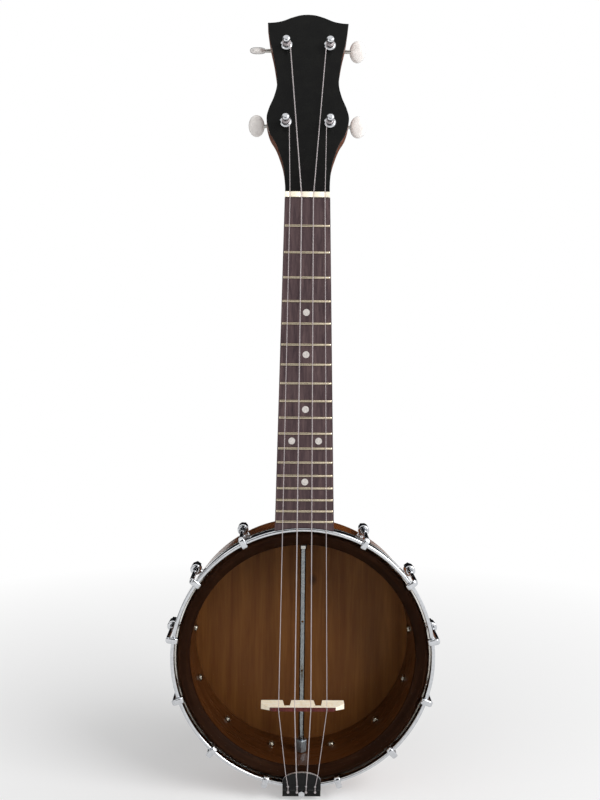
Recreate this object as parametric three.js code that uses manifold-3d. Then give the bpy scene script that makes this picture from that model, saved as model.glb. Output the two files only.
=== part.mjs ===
// A banjo ukulele with a closed back and a clear head, in millimetres.
// Pot frame: x to the right, y away from the viewer along the pot's axis, z up towards the neck.
// Its zero is the centre of the drum head, on the underside of the film.
// Neck frame: tipped back from the pot. Its zero is the board's playing surface at the nut.
// Head frame: tipped back again. Its zero is the headstock's face just behind the nut.
// The finished group's own zero is the place where a hanger's yoke holds the headstock.

import * as THREE from "three";
import { mergeVertices } from "three/addons/utils/BufferGeometryUtils.js";
import Module from "manifold-3d";

const wasm = await Module();
wasm.setup();

// Setting out: lengths in millimetres, angles in degrees
const scaleLength = 381;
const bridgeSetback = 6;
const bridgeBelowCentre = 34.3;
const neckSetAngle = 3.6;
const boardOverHead = 2.9;
const seatGap = 0.3;
const runningGap = 0.25;
const overrun = 5;
const weldLength = 0.0005;
const hangerHeightShare = 0.253;

// Neck and heel
const nutEndWidth = 34;
const bodyEndWidth = 44.4;
const neckDepthAtNut = 13;
const neckDepthAtHeel = 15;
const heelDepth = 43;
const heelLength = 60;
const heelCurve = 2;
const heelStudSocket = 9;
const neckRingSteps = 10;
const shaftStations = 4;
const heelStations = 9;

// Headstock, angled back behind the nut
const headAngle = 12;
const headFaceDrop = 2.5;
const headLength = 150;
const headTopHalfWidth = 32;
const headWoodThickness = 12.5;
const veneerThickness = 1.5;
const shaftIntoHead = 20;
const shaftSink = 1;
const headBlendLength = 24;
const headBlendHalfWidth = 24;
const headBlendDepth = 27;
const headBlendStations = 3;
const outlineSteps = 2;
// Places up the side of the headstock, as shares of its length, and half widths there, of its top's
const sideLengthShares = [0.062, 0.143, 0.21, 0.266, 0.325, 0.4, 0.46, 0.53, 0.61, 0.735, 0.845];
const sideWidthShares = [0.54, 0.581, 0.67, 0.77, 0.92, 1.0, 0.945, 0.82, 0.755, 0.826, 0.933];
const topLengthShares = [0.952, 0.961, 0.981, 0.996];
const topWidthShares = [0.82, 0.63, 0.41, 0.19];
const cornerLengthShare = 0.949;

// Fingerboard, frets and nut
const boardThickness = 5;
const fretCount = 18;
const fretsPerOctave = 12;
const fretWidth = 1.9;
const fretHeight = 1;
const fretCrownShare = 0.45;
const fretSink = 0.5;
const fretEndInset = 0.3;
const nutThickness = 4.6;
const nutCrown = 1.3;
const nutBackDrop = 0.9;

// Pot: rim, film, hoops and back
const ringSegments = 60;
const rimOuterRadius = 98;
const rimWall = 10.6;
const rimDepth = 54.7;
const bearingFlat = 1.2;
const bearingInnerBevel = 4;
const bearingOuterBevel = 2;
const filmThickness = 0.45;
const filmShoulderRadius = 2.6;
const filmShoulderSteps = 2;
const filmCollarDepth = 9.8;
const hoopWall = 2.95;
const hoopHeight = 9.8;
const hoopOverHead = 3;
const hoopEdgeRound = 1.1;
const fleshHoopHeight = 4;
const backThickness = 3;
const backEdgeRound = 1.2;

// Hooks and shoes that tension the head
const hooksPerSide = 6;
const hookSpacingAngle = 27.3;
const hookRodRadius = 1.7;
const hookStandOff = 1.3;
const hookSides = 7;
const clawWidth = 4.6;
const clawThickness = 2.2;
const clawBendRadius = 1.6;
const clawTipClearance = 0.45;
const hookNutAcross = 6.4;
const hookNutHeight = 5;
const hookTailLength = 2.8;
const shoeDepth = 35;
const shoeLength = 10;
const shoeRadius = 4.4;
const shoeEndRadius = 3.2;
const shoeShoulder = 1.6;
const shoeFootRadius = 3;
const shoeSides = 8;
const boltRadius = 1.9;
const boltHeadRadius = 3.3;
const boltHeadHeight = 2.2;
const boltHeadCrownShare = 0.55;
const smallSides = 8;

// Rod through the pot
const rodDepth = 30;
const rodRadius = 2.4;
const rodCollarRadius = 3.3;
const rodCollarLength = 2.8;
const rodHoleRadius = 0.9;
const rodHoleOffset = 20;
const rodStudRadius = 1.9;
const rodSides = 12;
const neckNutAcross = 8;
const neckNutHeight = 5;
const ferruleAcross = 8.2;
const ferruleLength = 9.6;
const ferruleGrip = 4;

// Tailpiece and its hanger bolt
const tailHalfWidth = 14.8;
const tailReach = 14.6;
const tailCornerDrop = 8;
const tailPlateThickness = 1.4;
const tailFrontRise = 2.4;
const tailFlatLength = 4.6;
const tailBendRadius = 2;
const tailLegDrop = 3.9;
const tailLedgeLength = 5.9;
const tailArchSteps = 8;
const tailSlotWidth = 1.6;
const tailSlotLength = 4.6;
const hangerBoltRadius = 1.5;
const hangerNutAcross = 4.6;
const hangerNutHeight = 2.8;

// Bridge
const bridgeHalfLength = 31.9;
const bridgeHeight = 16.7;
const bridgeFootThickness = 6;
const bridgeTopThickness = 2.4;
const bridgeOuterFootInset = 15.2;
const bridgeMiddleFoot = 8.6;
const bridgeArchHeight = 10.6;
const bridgeArchTopInset = 1.2;
const bridgeShoulderHeight = 7;
const bridgeCapHeight = 2;
const bridgeCapHalfLength = 25.2;
const notchHalfWidth = 0.9;
const notchDepth = 0.6;

// Strings, from the viewer's left to the right
const thickestStringRadius = 0.43;
const stringRadiusShares = [0.7, 1, 0.86, 0.65];
const stringSpacingAtNut = 8.85;
const stringSpacingAtBridge = 12.2;
const stringSpacingAtTail = 8.4;
const stringSpacingAtSlots = 7;
const windingTurns = 2;
const windingStepsPerTurn = 24;
const windingPitch = 1.35;
const stringSides = 6;
const knotRadius = 1;
const knotSteps = 4;

// Tuning machines: worm and wheel, four alike, mirrored from side to side
const postSpreadHalf = 17.1;
const lowerPostHeightShare = 0.38;
const upperPostHeightShare = 0.82;
const postRadius = 2.6;
const postWaistRadius = 2.1;
const postKnobRadius = 2.9;
const postKnobHeight = 3;
const postKnobCrownShare = 0.62;
const postHeight = 10.4;
const postFootHeight = 0.4;
const postHoleRadius = 0.6;
const postSides = 10;
const bushingFlangeRadius = 4.6;
const bushingFlangeHeight = 1.6;
const bushingTopRadius = 3.6;
const bushingRadius = 4;
const wheelTeeth = 14;
const toothPitch = 1.885;
const toothAddendum = 0.5;
const toothDedendum = 0.75;
const toothHalfShare = 0.18;
const toothFlankAngle = 20;
const wheelWidth = 3;
const wheelScrewRadius = 2.5;
const wheelScrewHeight = 1.3;
const wormPitchRadius = 1.9;
const wormTipRise = 0.5;
const wormTurns = 3;
const wormStepsPerTurn = 8;
const wormSides = 8;
const wormPlateGap = 0.4;
const threadSinkShare = 0.78;
const wormCollarLength = 0.6;
const journalRadius = 1.2;
const journalStub = 0.8;
const shaftRadius = 1.5;
const shaftIntoButton = 4;
const lugOffset = 5.4;
const lugThickness = 1.2;
const lugHalfWidth = 2.6;
const plateThickness = 1.2;
const plateHalfWidth = 6;
const plateTailReach = 6.2;
const plateCorner = 1.5;
const buttonReach = 33.8;
const buttonLength = 12.8;
const buttonWidth = 17;
const buttonThickness = 5.3;
const buttonFaceShare = 0.7;
const buttonEdgeShare = 0.93;
const buttonEdgeDepthShare = 0.62;
const buttonSides = 12;
// How each button happens to be turned, in degrees, keyed by its machine
const buttonTurns = { upper_left: 122, upper_right: 32, lower_left: 35, lower_right: 20 };

// Sizes that follow from the ones above
const nutToPotCentre = scaleLength + bridgeSetback - bridgeBelowCentre;
const neckSet = THREE.MathUtils.degToRad(neckSetAngle);
const headSet = THREE.MathUtils.degToRad(headAngle);
const boardOverCentre = boardOverHead + rimOuterRadius * Math.tan(neckSet);
const rimInnerRadius = rimOuterRadius - rimWall;
const clampFace = rimInnerRadius - seatGap;
const collarTop = clampFace - neckNutHeight - seatGap;
const ferruleTop = ferruleLength - clampFace;
const filmInnerRadius = rimOuterRadius + seatGap;
const filmOuterRadius = filmInnerRadius + filmThickness;
const hoopInnerRadius = filmOuterRadius + seatGap;
const hoopOuterRadius = hoopInnerRadius + hoopWall;
const hoopBottom = hoopHeight - hoopOverHead;
const fleshHoopBottom = hoopBottom + fleshHoopHeight;
const backFront = rimDepth + seatGap;
const backFace = backFront + backThickness;
const hookRadius = hoopOuterRadius + hookStandOff + hookRodRadius;
const headBack = veneerThickness + seatGap + headWoodThickness;
const plateFront = headBack + seatGap;
const plateBack = plateFront + plateThickness;
const wormTipRadius = wormPitchRadius + wormTipRise;
const wormRootRadius = wormPitchRadius - toothDedendum;
const wormDepth = plateBack + wormPlateGap + wormTipRadius;
const wheelPitchRadius = (wheelTeeth * toothPitch) / (2 * Math.PI);
const wheelFront = wormDepth - wheelWidth / 2;
const wheelBack = wormDepth + wheelWidth / 2;
const wormOffset = wheelPitchRadius + wormPitchRadius;
const flankSlope = Math.tan(THREE.MathUtils.degToRad(toothFlankAngle));
const toothHalf = toothPitch * toothHalfShare;
const lugInnerFace = lugOffset - lugThickness / 2;
const lugOuterFace = lugOffset + lugThickness / 2;
const buttonInnerEnd = buttonReach - postSpreadHalf;
const stringRadii = stringRadiusShares.map((share) => share * thickestStringRadius);

// Finishes
const finish = (color, roughness, metalness) =>
  new THREE.MeshStandardMaterial({ color, roughness, metalness });
const mahogany = finish(0x6b3a22, 0.45, 0);
const blackVeneer = finish(0x141415, 0.4, 0);
const rosewood = finish(0x3b2a2a, 0.6, 0);
const bone = finish(0xefe6cf, 0.4, 0);
const rimWood = finish(0x7a4020, 0.35, 0);
const backWood = finish(0x6a4a30, 0.4, 0);
const clearFilm = finish(0xd8d8d4, 0.1, 0);
const chrome = finish(0xd5d5d8, 0.1, 1);
const blackChrome = finish(0x1c1c1e, 0.25, 1);
const maple = finish(0xe8c79a, 0.5, 0);
const redwood = finish(0x5a2226, 0.45, 0);
const nylon = finish(0xe4e2dc, 0.3, 0);
const pearl = finish(0xf1efea, 0.2, 0);

// Radius of the corners of a regular polygon whose flats just touch a circle
const roundFlats = (radius, sides) => radius / Math.cos(Math.PI / sides);

// A closed geometry as a solid, with its faces turned outwards whichever way they were given.
function toSolid(geometry) {
  const bare = new THREE.BufferGeometry();
  bare.setAttribute("position", geometry.getAttribute("position").clone());
  bare.setIndex(geometry.index);
  const merged = mergeVertices(bare, weldLength);
  const corners = merged.index.array;
  const faces = [];
  for (let i = 0; i < corners.length; i += 3) {
    const [a, b, c] = corners.subarray(i, i + 3);
    if (a !== b && b !== c && c !== a) faces.push(a, b, c);
  }
  const build = (triangles) =>
    new wasm.Manifold(
      new wasm.Mesh({
        numProp: 3,
        vertProperties: merged.getAttribute("position").array,
        triVerts: Uint32Array.from(triangles),
      }),
    );
  const solid = build(faces);
  if (solid.volume() > 0) return solid;
  return build(faces.reverse());
}

// A solid back as a geometry.
function toGeometry(solid) {
  const mesh = solid.getMesh();
  const geometry = new THREE.BufferGeometry();
  const places = Float32Array.from(mesh.vertProperties);
  geometry.setAttribute("position", new THREE.BufferAttribute(places, mesh.numProp));
  geometry.setIndex(new THREE.BufferAttribute(Uint32Array.from(mesh.triVerts), 1));
  return geometry;
}

const outward = (geometry) => toGeometry(toSolid(geometry));

const joined = (first, ...others) =>
  toGeometry(others.reduce((solid, other) => solid.add(toSolid(other)), toSolid(first)));

const cutBy = (first, ...tools) =>
  toGeometry(tools.reduce((solid, tool) => solid.subtract(toSolid(tool)), toSolid(first)));

const shared = (first, second) => toGeometry(toSolid(first).intersect(toSolid(second)));

// A solid of revolution about y from pairs of radius and y, which start and end on the axis or meet.
function turned(profile, segments) {
  const points = profile.map(([radius, along]) => new THREE.Vector2(radius, along));
  return new THREE.LatheGeometry(points, segments);
}

// A closed ring of revolution about y.
const turnedRing = (profile, segments) => turned([...profile, profile[0]], segments);

// A plain round bar along y, from one place to another.
const barAlongY = (radius, from, to, sides) =>
  turned([[0, from], [radius, from], [radius, to], [0, to]], sides);

// Triangles that fill a flat ring of points, turned the way that the ring runs.
function fillRing(ring) {
  const normal = new THREE.Vector3();
  ring.forEach((point, i) => normal.add(point.clone().cross(ring[(i + 1) % ring.length])));
  const sizes = [Math.abs(normal.x), Math.abs(normal.y), Math.abs(normal.z)];
  const dropped = sizes.indexOf(Math.max(...sizes));
  const [across, up] = [0, 1, 2].filter((axis) => axis !== dropped);
  const flat = ring.map((point) => new THREE.Vector2(point.getComponent(across), point.getComponent(up)));
  const faces = THREE.ShapeUtils.triangulateShape(flat, []);
  const runs = Math.sign(THREE.ShapeUtils.area(flat));
  return faces.map(([a, b, c]) =>
    Math.sign(THREE.ShapeUtils.area([flat[a], flat[b], flat[c]])) === runs ? [a, b, c] : [c, b, a],
  );
}

// A closed body through rings of as many points each, with its two ends filled.
function loft(rings) {
  const count = rings[0].length;
  const faces = [];
  for (let i = 0; i + 1 < rings.length; i++) {
    for (let j = 0; j < count; j++) {
      const a = i * count + j;
      const b = i * count + ((j + 1) % count);
      faces.push(a, b, b + count, a, b + count, a + count);
    }
  }
  const last = (rings.length - 1) * count;
  fillRing(rings[0]).forEach(([a, b, c]) => faces.push(c, b, a));
  fillRing(rings[rings.length - 1]).forEach(([a, b, c]) => faces.push(last + a, last + b, last + c));
  const geometry = new THREE.BufferGeometry().setFromPoints(rings.flat());
  geometry.setIndex(faces);
  return outward(geometry);
}

// A tube along points, whose section turns with the path and keeps its own radius at each point.
function tube(points, radii, sides) {
  const steps = points.map((point, i) => {
    const before = points[Math.max(i - 1, 0)];
    const after = points[Math.min(i + 1, points.length - 1)];
    return after.clone().sub(before).normalize();
  });
  let side = new THREE.Vector3(1, 0, 0).cross(steps[0]).normalize();
  const rings = points.map((point, i) => {
    const along = steps[i];
    side = side.clone().addScaledVector(along, -side.dot(along)).normalize();
    const up = along.clone().cross(side);
    return Array.from({ length: sides }, (_, j) => {
      const angle = (2 * Math.PI * j) / sides;
      return point
        .clone()
        .addScaledVector(side, radii[i] * Math.cos(angle))
        .addScaledVector(up, radii[i] * Math.sin(angle));
    });
  });
  return loft(rings);
}

// An outline of [across, up] pairs, extruded along z and centred there on zero.
function plate(outline, thickness) {
  const shape = new THREE.Shape(outline.map(([across, up]) => new THREE.Vector2(across, up)));
  const geometry = new THREE.ExtrudeGeometry(shape, { depth: thickness, bevelEnabled: false });
  return geometry.translate(0, 0, -thickness / 2);
}

// The x, y plane of a plate laid on y: its outline then lies in x and z, its thickness along y.
const laidOnY = (geometry) => geometry.rotateX(Math.PI / 2);

// Places of the hooks round the pot, from the top, in radians.
const hookAngles = [];
for (let side = -1; side <= 1; side += 2) {
  for (let k = 1; k <= hooksPerSide; k++) {
    hookAngles.push(side * THREE.MathUtils.degToRad(hookSpacingAngle * k));
  }
}

// Groups for the three frames
const instrument = new THREE.Group();
const pot = new THREE.Group();
const neckFrame = new THREE.Group();
const headFrame = new THREE.Group();
instrument.add(pot);
pot.add(neckFrame);
neckFrame.add(headFrame);
neckFrame.rotation.x = -neckSet;
neckFrame.position.set(
  0,
  nutToPotCentre * Math.sin(neckSet) - boardOverCentre * Math.cos(neckSet),
  nutToPotCentre * Math.cos(neckSet) + boardOverCentre * Math.sin(neckSet),
);
headFrame.rotation.x = -headSet;
headFrame.position.set(0, headFaceDrop, nutThickness + seatGap + seatGap);
instrument.updateMatrixWorld(true);
const neckToPot = neckFrame.matrixWorld.clone();
const potToNeck = neckToPot.clone().invert();
const headToPot = headFrame.matrixWorld.clone();
const headToNeck = headFrame.matrix.clone();

function addPiece(frame, name, geometry, material) {
  const mesh = new THREE.Mesh(outward(geometry), material);
  mesh.name = name;
  frame.add(mesh);
  return mesh;
}

// A drum of the pot's facets, as a tool that cuts what meets the rim or the hoops.
function potDrum(radius, from, to) {
  return barAlongY(radius, from, to, ringSegments).applyMatrix4(potToNeck);
}

// Half width of the board at a place along it, below the nut.
function boardHalfWidth(below) {
  const share = below / (nutToPotCentre - hoopOuterRadius);
  return THREE.MathUtils.lerp(nutEndWidth, bodyEndWidth, share) / 2;
}

// One cross section of the neck: flat under the board, and half an ellipse behind.
function neckSection(height, halfWidth, top, depth) {
  return Array.from({ length: neckRingSteps + 1 }, (_, j) => {
    const angle = (Math.PI * j) / neckRingSteps;
    return new THREE.Vector3(halfWidth * Math.cos(angle), top + depth * Math.sin(angle), height);
  });
}

// The neck's shaft and heel, from inside the headstock down into the pot.
function neckShaft() {
  const top = boardThickness + seatGap;
  const shaftLength = nutToPotCentre - rimOuterRadius - heelLength;
  const sunkTop = headFaceDrop + headBack + shaftIntoHead * Math.tan(headSet) - neckDepthAtNut;
  const rings = [neckSection(shaftIntoHead, nutEndWidth / 2, sunkTop, neckDepthAtNut - shaftSink)];
  for (let i = 0; i <= shaftStations; i++) {
    const below = (shaftLength * i) / shaftStations;
    const depth = THREE.MathUtils.lerp(neckDepthAtNut, neckDepthAtHeel, i / shaftStations);
    rings.push(neckSection(-below, boardHalfWidth(below), top, depth));
  }
  for (let i = 1; i <= heelStations; i++) {
    const share = i / heelStations;
    const below = shaftLength + (heelLength + overrun) * share;
    const depth = neckDepthAtHeel + (heelDepth - neckDepthAtHeel) * share ** heelCurve;
    rings.push(neckSection(-below, boardHalfWidth(below), top, depth));
  }
  return loft(rings);
}

// The headstock's outline in x and height, right side from the foot to the peak and back down the left.
function headOutline() {
  const side = sideLengthShares.map((share, i) => [
    sideWidthShares[i] * headTopHalfWidth,
    share * headLength,
  ]);
  const corner = [headTopHalfWidth, cornerLengthShare * headLength];
  const crest = topLengthShares.map((share, i) => [
    topWidthShares[i] * headTopHalfWidth,
    share * headLength,
  ]);
  const through = (pairs, steps) =>
    new THREE.SplineCurve(pairs.map(([x, y]) => new THREE.Vector2(x, y)))
      .getPoints((pairs.length - 1) * steps)
      .map((point) => [point.x, point.y]);
  const rightSide = through([[nutEndWidth / 2, 0], ...side, corner], outlineSteps);
  const rightTop = through([corner, ...crest, [0, headLength]], 2);
  const right = [...rightSide, ...rightTop.slice(1)];
  const left = right
    .slice(0, -1)
    .reverse()
    .map(([x, y]) => [-x, y]);
  return [...right, ...left];
}

const postPlaces = [
  { name: "upper_left", side: -1, height: upperPostHeightShare * headLength },
  { name: "upper_right", side: 1, height: upperPostHeightShare * headLength },
  { name: "lower_left", side: -1, height: lowerPostHeightShare * headLength },
  { name: "lower_right", side: 1, height: lowerPostHeightShare * headLength },
];

// Tools that bore the headstock for the bushings of the four posts.
function bushingBores() {
  const radius = roundFlats(bushingRadius + seatGap, postSides);
  return postPlaces.map(({ side, height }) =>
    barAlongY(radius, -overrun, headBack + overrun, postSides).translate(side * postSpreadHalf, 0, height),
  );
}

// What is carved off the headstock's lower corners, so that its square edges run out into the round shaft.
function headCarving() {
  const top = boardThickness + seatGap;
  const rings = [];
  for (let i = -1; i <= headBlendStations; i++) {
    const share = i / headBlendStations;
    const halfWidth = THREE.MathUtils.lerp(nutEndWidth / 2, headBlendHalfWidth, share * Math.abs(share));
    const depth = THREE.MathUtils.lerp(neckDepthAtNut, headBlendDepth, share * Math.abs(share));
    const section = neckSection(headBlendLength * share, Math.max(halfWidth, nutEndWidth / 2), top, depth);
    const front = [-1, 1].map((side) => section[side < 0 ? neckRingSteps : 0].clone().setY(-headLength));
    rings.push([...section, ...front]);
  }
  const size = headLength;
  const block = new THREE.BoxGeometry(size, size, size).translate(0, 0, headBlendLength - size / 2);
  return cutBy(block, loft(rings));
}

function makeNeck() {
  const front = veneerThickness + seatGap;
  const slab = laidOnY(plate(headOutline(), headWoodThickness));
  slab.translate(0, front + headWoodThickness / 2, 0);
  const bored = cutBy(outward(slab), ...bushingBores()).applyMatrix4(headToNeck);
  const head = cutBy(bored, headCarving());
  const seatHeight = boardThickness + seatGap;
  const seat = new THREE.BoxGeometry(2 * bodyEndWidth, 2 * seatHeight, 2 * nutToPotCentre);
  seat.translate(0, 0, nutThickness + seatGap - nutToPotCentre);
  const socketRadius = roundFlats(rodStudRadius + seatGap, rodSides);
  const socket = barAlongY(socketRadius, 0, rimOuterRadius + heelStudSocket, rodSides)
    .rotateX(Math.PI / 2)
    .translate(0, rodDepth, 0)
    .applyMatrix4(potToNeck);
  return cutBy(
    joined(neckShaft(), head),
    seat,
    potDrum(rimOuterRadius + seatGap, -rimDepth, 2 * rimDepth),
    potDrum(hoopOuterRadius + seatGap, -rimDepth, fleshHoopBottom + seatGap),
    socket,
  );
}

function makeVeneer() {
  const veneer = laidOnY(plate(headOutline(), veneerThickness));
  veneer.translate(0, veneerThickness / 2, 0);
  return cutBy(outward(veneer), ...bushingBores());
}

// The board with its frets pressed in, cut to the hoop's curve at the body end.
function makeFingerboard() {
  const bodyEnd = nutToPotCentre - hoopOuterRadius + overrun;
  const outline = [
    [nutEndWidth / 2, 0],
    [boardHalfWidth(bodyEnd), -bodyEnd],
    [-boardHalfWidth(bodyEnd), -bodyEnd],
    [-nutEndWidth / 2, 0],
  ];
  const blank = laidOnY(plate(outline, boardThickness)).translate(0, boardThickness / 2, 0);
  const frets = [];
  for (let n = 1; n <= fretCount; n++) {
    const below = scaleLength * (1 - 2 ** (-n / fretsPerOctave));
    const half = boardHalfWidth(below) - fretEndInset;
    const crown = fretCrownShare * fretWidth;
    const section = [
      [-fretWidth / 2, fretSink],
      [-fretWidth / 2, -fretHeight / 3],
      [-crown / 2, -fretHeight],
      [crown / 2, -fretHeight],
      [fretWidth / 2, -fretHeight / 3],
      [fretWidth / 2, fretSink],
    ];
    frets.push(
      loft([-half, half].map((x) => section.map(([along, up]) => new THREE.Vector3(x, up, along - below)))),
    );
  }
  return cutBy(
    joined(outward(blank), ...frets),
    potDrum(hoopOuterRadius + seatGap, -rimDepth, rimDepth),
  );
}

// Points of a row of V notches along a top edge, from left to right.
function notches(places, top, depth) {
  return places.flatMap((x) => [
    [x - notchHalfWidth, top],
    [x, top - depth],
    [x + notchHalfWidth, top],
  ]);
}

const stringPlaces = (spacing) => stringRadii.map((_, i) => spacing * (i - (stringRadii.length - 1) / 2));

// The nut: its top falls away towards the headstock, and its back sits on the neck.
function makeNut() {
  const half = nutEndWidth / 2;
  const faceAt = (height, crown) => {
    const edge = [[-half, -boardThickness], [-half, crown]];
    const row = notches(stringPlaces(stringSpacingAtNut), crown, notchDepth);
    return [...edge, ...row, [half, crown], [half, -boardThickness]].map(
      ([x, up]) => new THREE.Vector3(x, -up, height),
    );
  };
  return loft([faceAt(seatGap, nutCrown), faceAt(nutThickness, nutCrown - nutBackDrop)]);
}

// Bores through the rim, one for each shoe's bolt and two for the rod.
function rimBores() {
  const length = 2 * rimWall;
  const bore = (radius, angle, depth) =>
    barAlongY(roundFlats(radius, smallSides), -length / 2, length / 2, smallSides)
      .rotateX(Math.PI / 2)
      .translate(0, depth, rimOuterRadius - rimWall / 2)
      .rotateY(angle);
  const shoes = hookAngles.map((angle) => bore(boltRadius + seatGap, angle, shoeDepth));
  const ends = [0, Math.PI].map((angle) => bore(rodStudRadius + seatGap, angle, rodDepth));
  return [...shoes, ...ends];
}

function makeRim() {
  const profile = [
    [rimInnerRadius, rimDepth],
    [rimInnerRadius, bearingInnerBevel],
    [rimOuterRadius - bearingOuterBevel - bearingFlat, seatGap],
    [rimOuterRadius - bearingOuterBevel, seatGap],
    [rimOuterRadius, seatGap + bearingOuterBevel],
    [rimOuterRadius, rimDepth],
  ];
  return cutBy(turnedRing(profile, ringSegments), ...rimBores());
}

function makeBack() {
  const flat = rimOuterRadius - backEdgeRound;
  const profile = [
    [0, backFront],
    [rimOuterRadius, backFront],
    [rimOuterRadius, backFace - backEdgeRound],
    [flat, backFace],
    [0, backFace],
  ];
  return turned(profile, ringSegments);
}

// Points of the film's bend over the rim, on its upper or its lower side.
function filmShoulder(radius, surface, bend) {
  return Array.from({ length: filmShoulderSteps + 1 }, (_, i) => {
    const angle = (Math.PI * i) / (2 * filmShoulderSteps);
    return [radius - bend + bend * Math.sin(angle), surface + bend - bend * Math.cos(angle)];
  });
}

function makeDrumHead() {
  const upper = filmShoulder(filmOuterRadius, -filmThickness, filmShoulderRadius);
  const lower = filmShoulder(filmInnerRadius, 0, filmShoulderRadius - filmThickness);
  const profile = [
    [0, -filmThickness],
    ...upper,
    [filmOuterRadius, filmCollarDepth],
    [filmInnerRadius, filmCollarDepth],
    ...lower.reverse(),
    [0, 0],
  ];
  return turned(profile, ringSegments);
}

function makeFleshHoop() {
  const profile = [
    [hoopInnerRadius, hoopBottom],
    [hoopOuterRadius, hoopBottom],
    [hoopOuterRadius, fleshHoopBottom],
    [hoopInnerRadius, fleshHoopBottom],
  ];
  return turnedRing(profile, ringSegments);
}

function makeTensionHoop() {
  const profile = [
    [hoopInnerRadius, hoopBottom],
    [hoopInnerRadius, hoopEdgeRound - hoopOverHead],
    [hoopInnerRadius + hoopEdgeRound, -hoopOverHead],
    [hoopOuterRadius - hoopEdgeRound, -hoopOverHead],
    [hoopOuterRadius, hoopEdgeRound - hoopOverHead],
    [hoopOuterRadius, hoopBottom],
  ];
  return turnedRing(profile, ringSegments);
}

// A hexagon nut along y, given across its flats.
const hexNut = (across, from, to) => barAlongY(roundFlats(across / 2, 6), from, to, 6);

// One hook: a claw over the hoop, a rod outside it, and the nut behind the shoe.
function makeHook() {
  const runDepth = -hoopOverHead - seatGap - clawThickness / 2;
  const tipRadius = hoopInnerRadius - seatGap - clawThickness / 2;
  const tipDepth = -filmThickness - clawTipClearance;
  const nutFront = shoeDepth + shoeLength / 2 + seatGap;
  const rodEnd = nutFront + hookNutHeight + hookTailLength;
  const bend = clawBendRadius;
  const diagonal = bend * Math.SQRT1_2;
  const rod = [hookRodRadius, hookRodRadius];
  const claw = [clawWidth / 2, clawThickness / 2];
  // Places as radius, depth and the way that the section's outer side faces in degrees, where 0 is
  // away from the pot and -90 is forward, with its half width and thickness
  const stations = [
    [hookRadius, rodEnd, 0, rod],
    [hookRadius, runDepth + 2 * bend, 0, rod],
    [hookRadius - bend + diagonal, runDepth + bend - diagonal, -45, claw],
    [hookRadius - bend, runDepth, -90, claw],
    [tipRadius + bend, runDepth, -90, claw],
    [tipRadius + bend - diagonal, runDepth + bend - diagonal, -135, claw],
    [tipRadius, runDepth + bend, -180, claw],
    [tipRadius, tipDepth, -180, claw],
  ];
  const rings = stations.map(([radius, depth, degrees, [halfWidth, halfThickness]]) => {
    const heading = THREE.MathUtils.degToRad(degrees);
    return Array.from({ length: hookSides }, (_, j) => {
      const angle = (2 * Math.PI * (j + 1 / 2)) / hookSides;
      const across = halfWidth * Math.sin(angle);
      const thick = halfThickness * Math.cos(angle);
      const height = radius + thick * Math.cos(heading);
      return new THREE.Vector3(across, depth + thick * Math.sin(heading), height);
    });
  });
  const nut = hexNut(hookNutAcross, nutFront, nutFront + hookNutHeight).translate(0, 0, hookRadius);
  return joined(nut, loft(rings));
}

// A barrel outside the rim, standing on a foot whose bolt runs inwards through the rim.
// The bolt's inner end comes as pairs of radius and distance from the pot's axis.
function rimFixing(radius, depth, barrelInner, barrelOuter, boltEnd) {
  const barrel = turned(
    [
      [0, depth - shoeLength / 2],
      [barrelInner, depth - shoeLength / 2],
      [barrelOuter, depth - shoeLength / 2 + shoeShoulder],
      [barrelOuter, depth + shoeLength / 2 - shoeShoulder],
      [barrelInner, depth + shoeLength / 2],
      [0, depth + shoeLength / 2],
    ],
    shoeSides,
  ).translate(0, 0, radius);
  const footInner = rimOuterRadius + seatGap;
  const stem = turned(
    [
      ...boltEnd,
      [boltRadius, footInner],
      [shoeFootRadius, footInner],
      [shoeFootRadius, radius],
      [0, radius],
    ],
    smallSides,
  )
    .rotateX(Math.PI / 2)
    .translate(0, depth, 0);
  return joined(barrel, outward(stem));
}

function makeShoe() {
  const eye = barAlongY(
    roundFlats(hookRodRadius + seatGap, smallSides),
    shoeDepth - shoeLength,
    shoeDepth + shoeLength,
    smallSides,
  ).translate(0, 0, hookRadius);
  const boltEnd = [
    [0, clampFace - boltHeadHeight],
    [boltHeadRadius * boltHeadCrownShare, clampFace - boltHeadHeight],
    [boltHeadRadius, clampFace - boltHeadHeight / 2],
    [boltHeadRadius, clampFace],
    [boltRadius, clampFace],
  ];
  return cutBy(rimFixing(hookRadius, shoeDepth, shoeEndRadius, shoeRadius, boltEnd), eye);
}

// The rod, with its collar and the stud that holds the neck's heel to the rim.
function makeRod() {
  const studEnd = rimOuterRadius + heelStudSocket - seatGap;
  const rod = turned(
    [
      [0, ferruleTop - ferruleGrip],
      [rodStudRadius, ferruleTop - ferruleGrip],
      [rodStudRadius, ferruleTop + seatGap],
      [rodRadius, ferruleTop + seatGap],
      [rodRadius, collarTop - rodCollarLength],
      [rodCollarRadius, collarTop - rodCollarLength],
      [rodCollarRadius, collarTop],
      [rodStudRadius, collarTop],
      [rodStudRadius, studEnd],
      [0, studEnd],
    ],
    rodSides,
  )
    .rotateX(Math.PI / 2)
    .translate(0, rodDepth, 0);
  const crossHoles = [-rodHoleOffset, rodHoleOffset].map((height) =>
    barAlongY(rodHoleRadius, rodDepth - overrun, rodDepth + overrun, smallSides).translate(0, 0, height),
  );
  return cutBy(outward(rod), ...crossHoles);
}

// A hexagon nut along z on the rod's axis, with a clear bore.
function rodNut(across, from, to) {
  const stand = (geometry) => geometry.rotateX(Math.PI / 2).translate(0, rodDepth, 0);
  const boreRadius = roundFlats(rodStudRadius + seatGap, smallSides);
  const bore = barAlongY(boreRadius, from - overrun, to + overrun, smallSides);
  return cutBy(stand(hexNut(across, from, to)), stand(bore));
}

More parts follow.
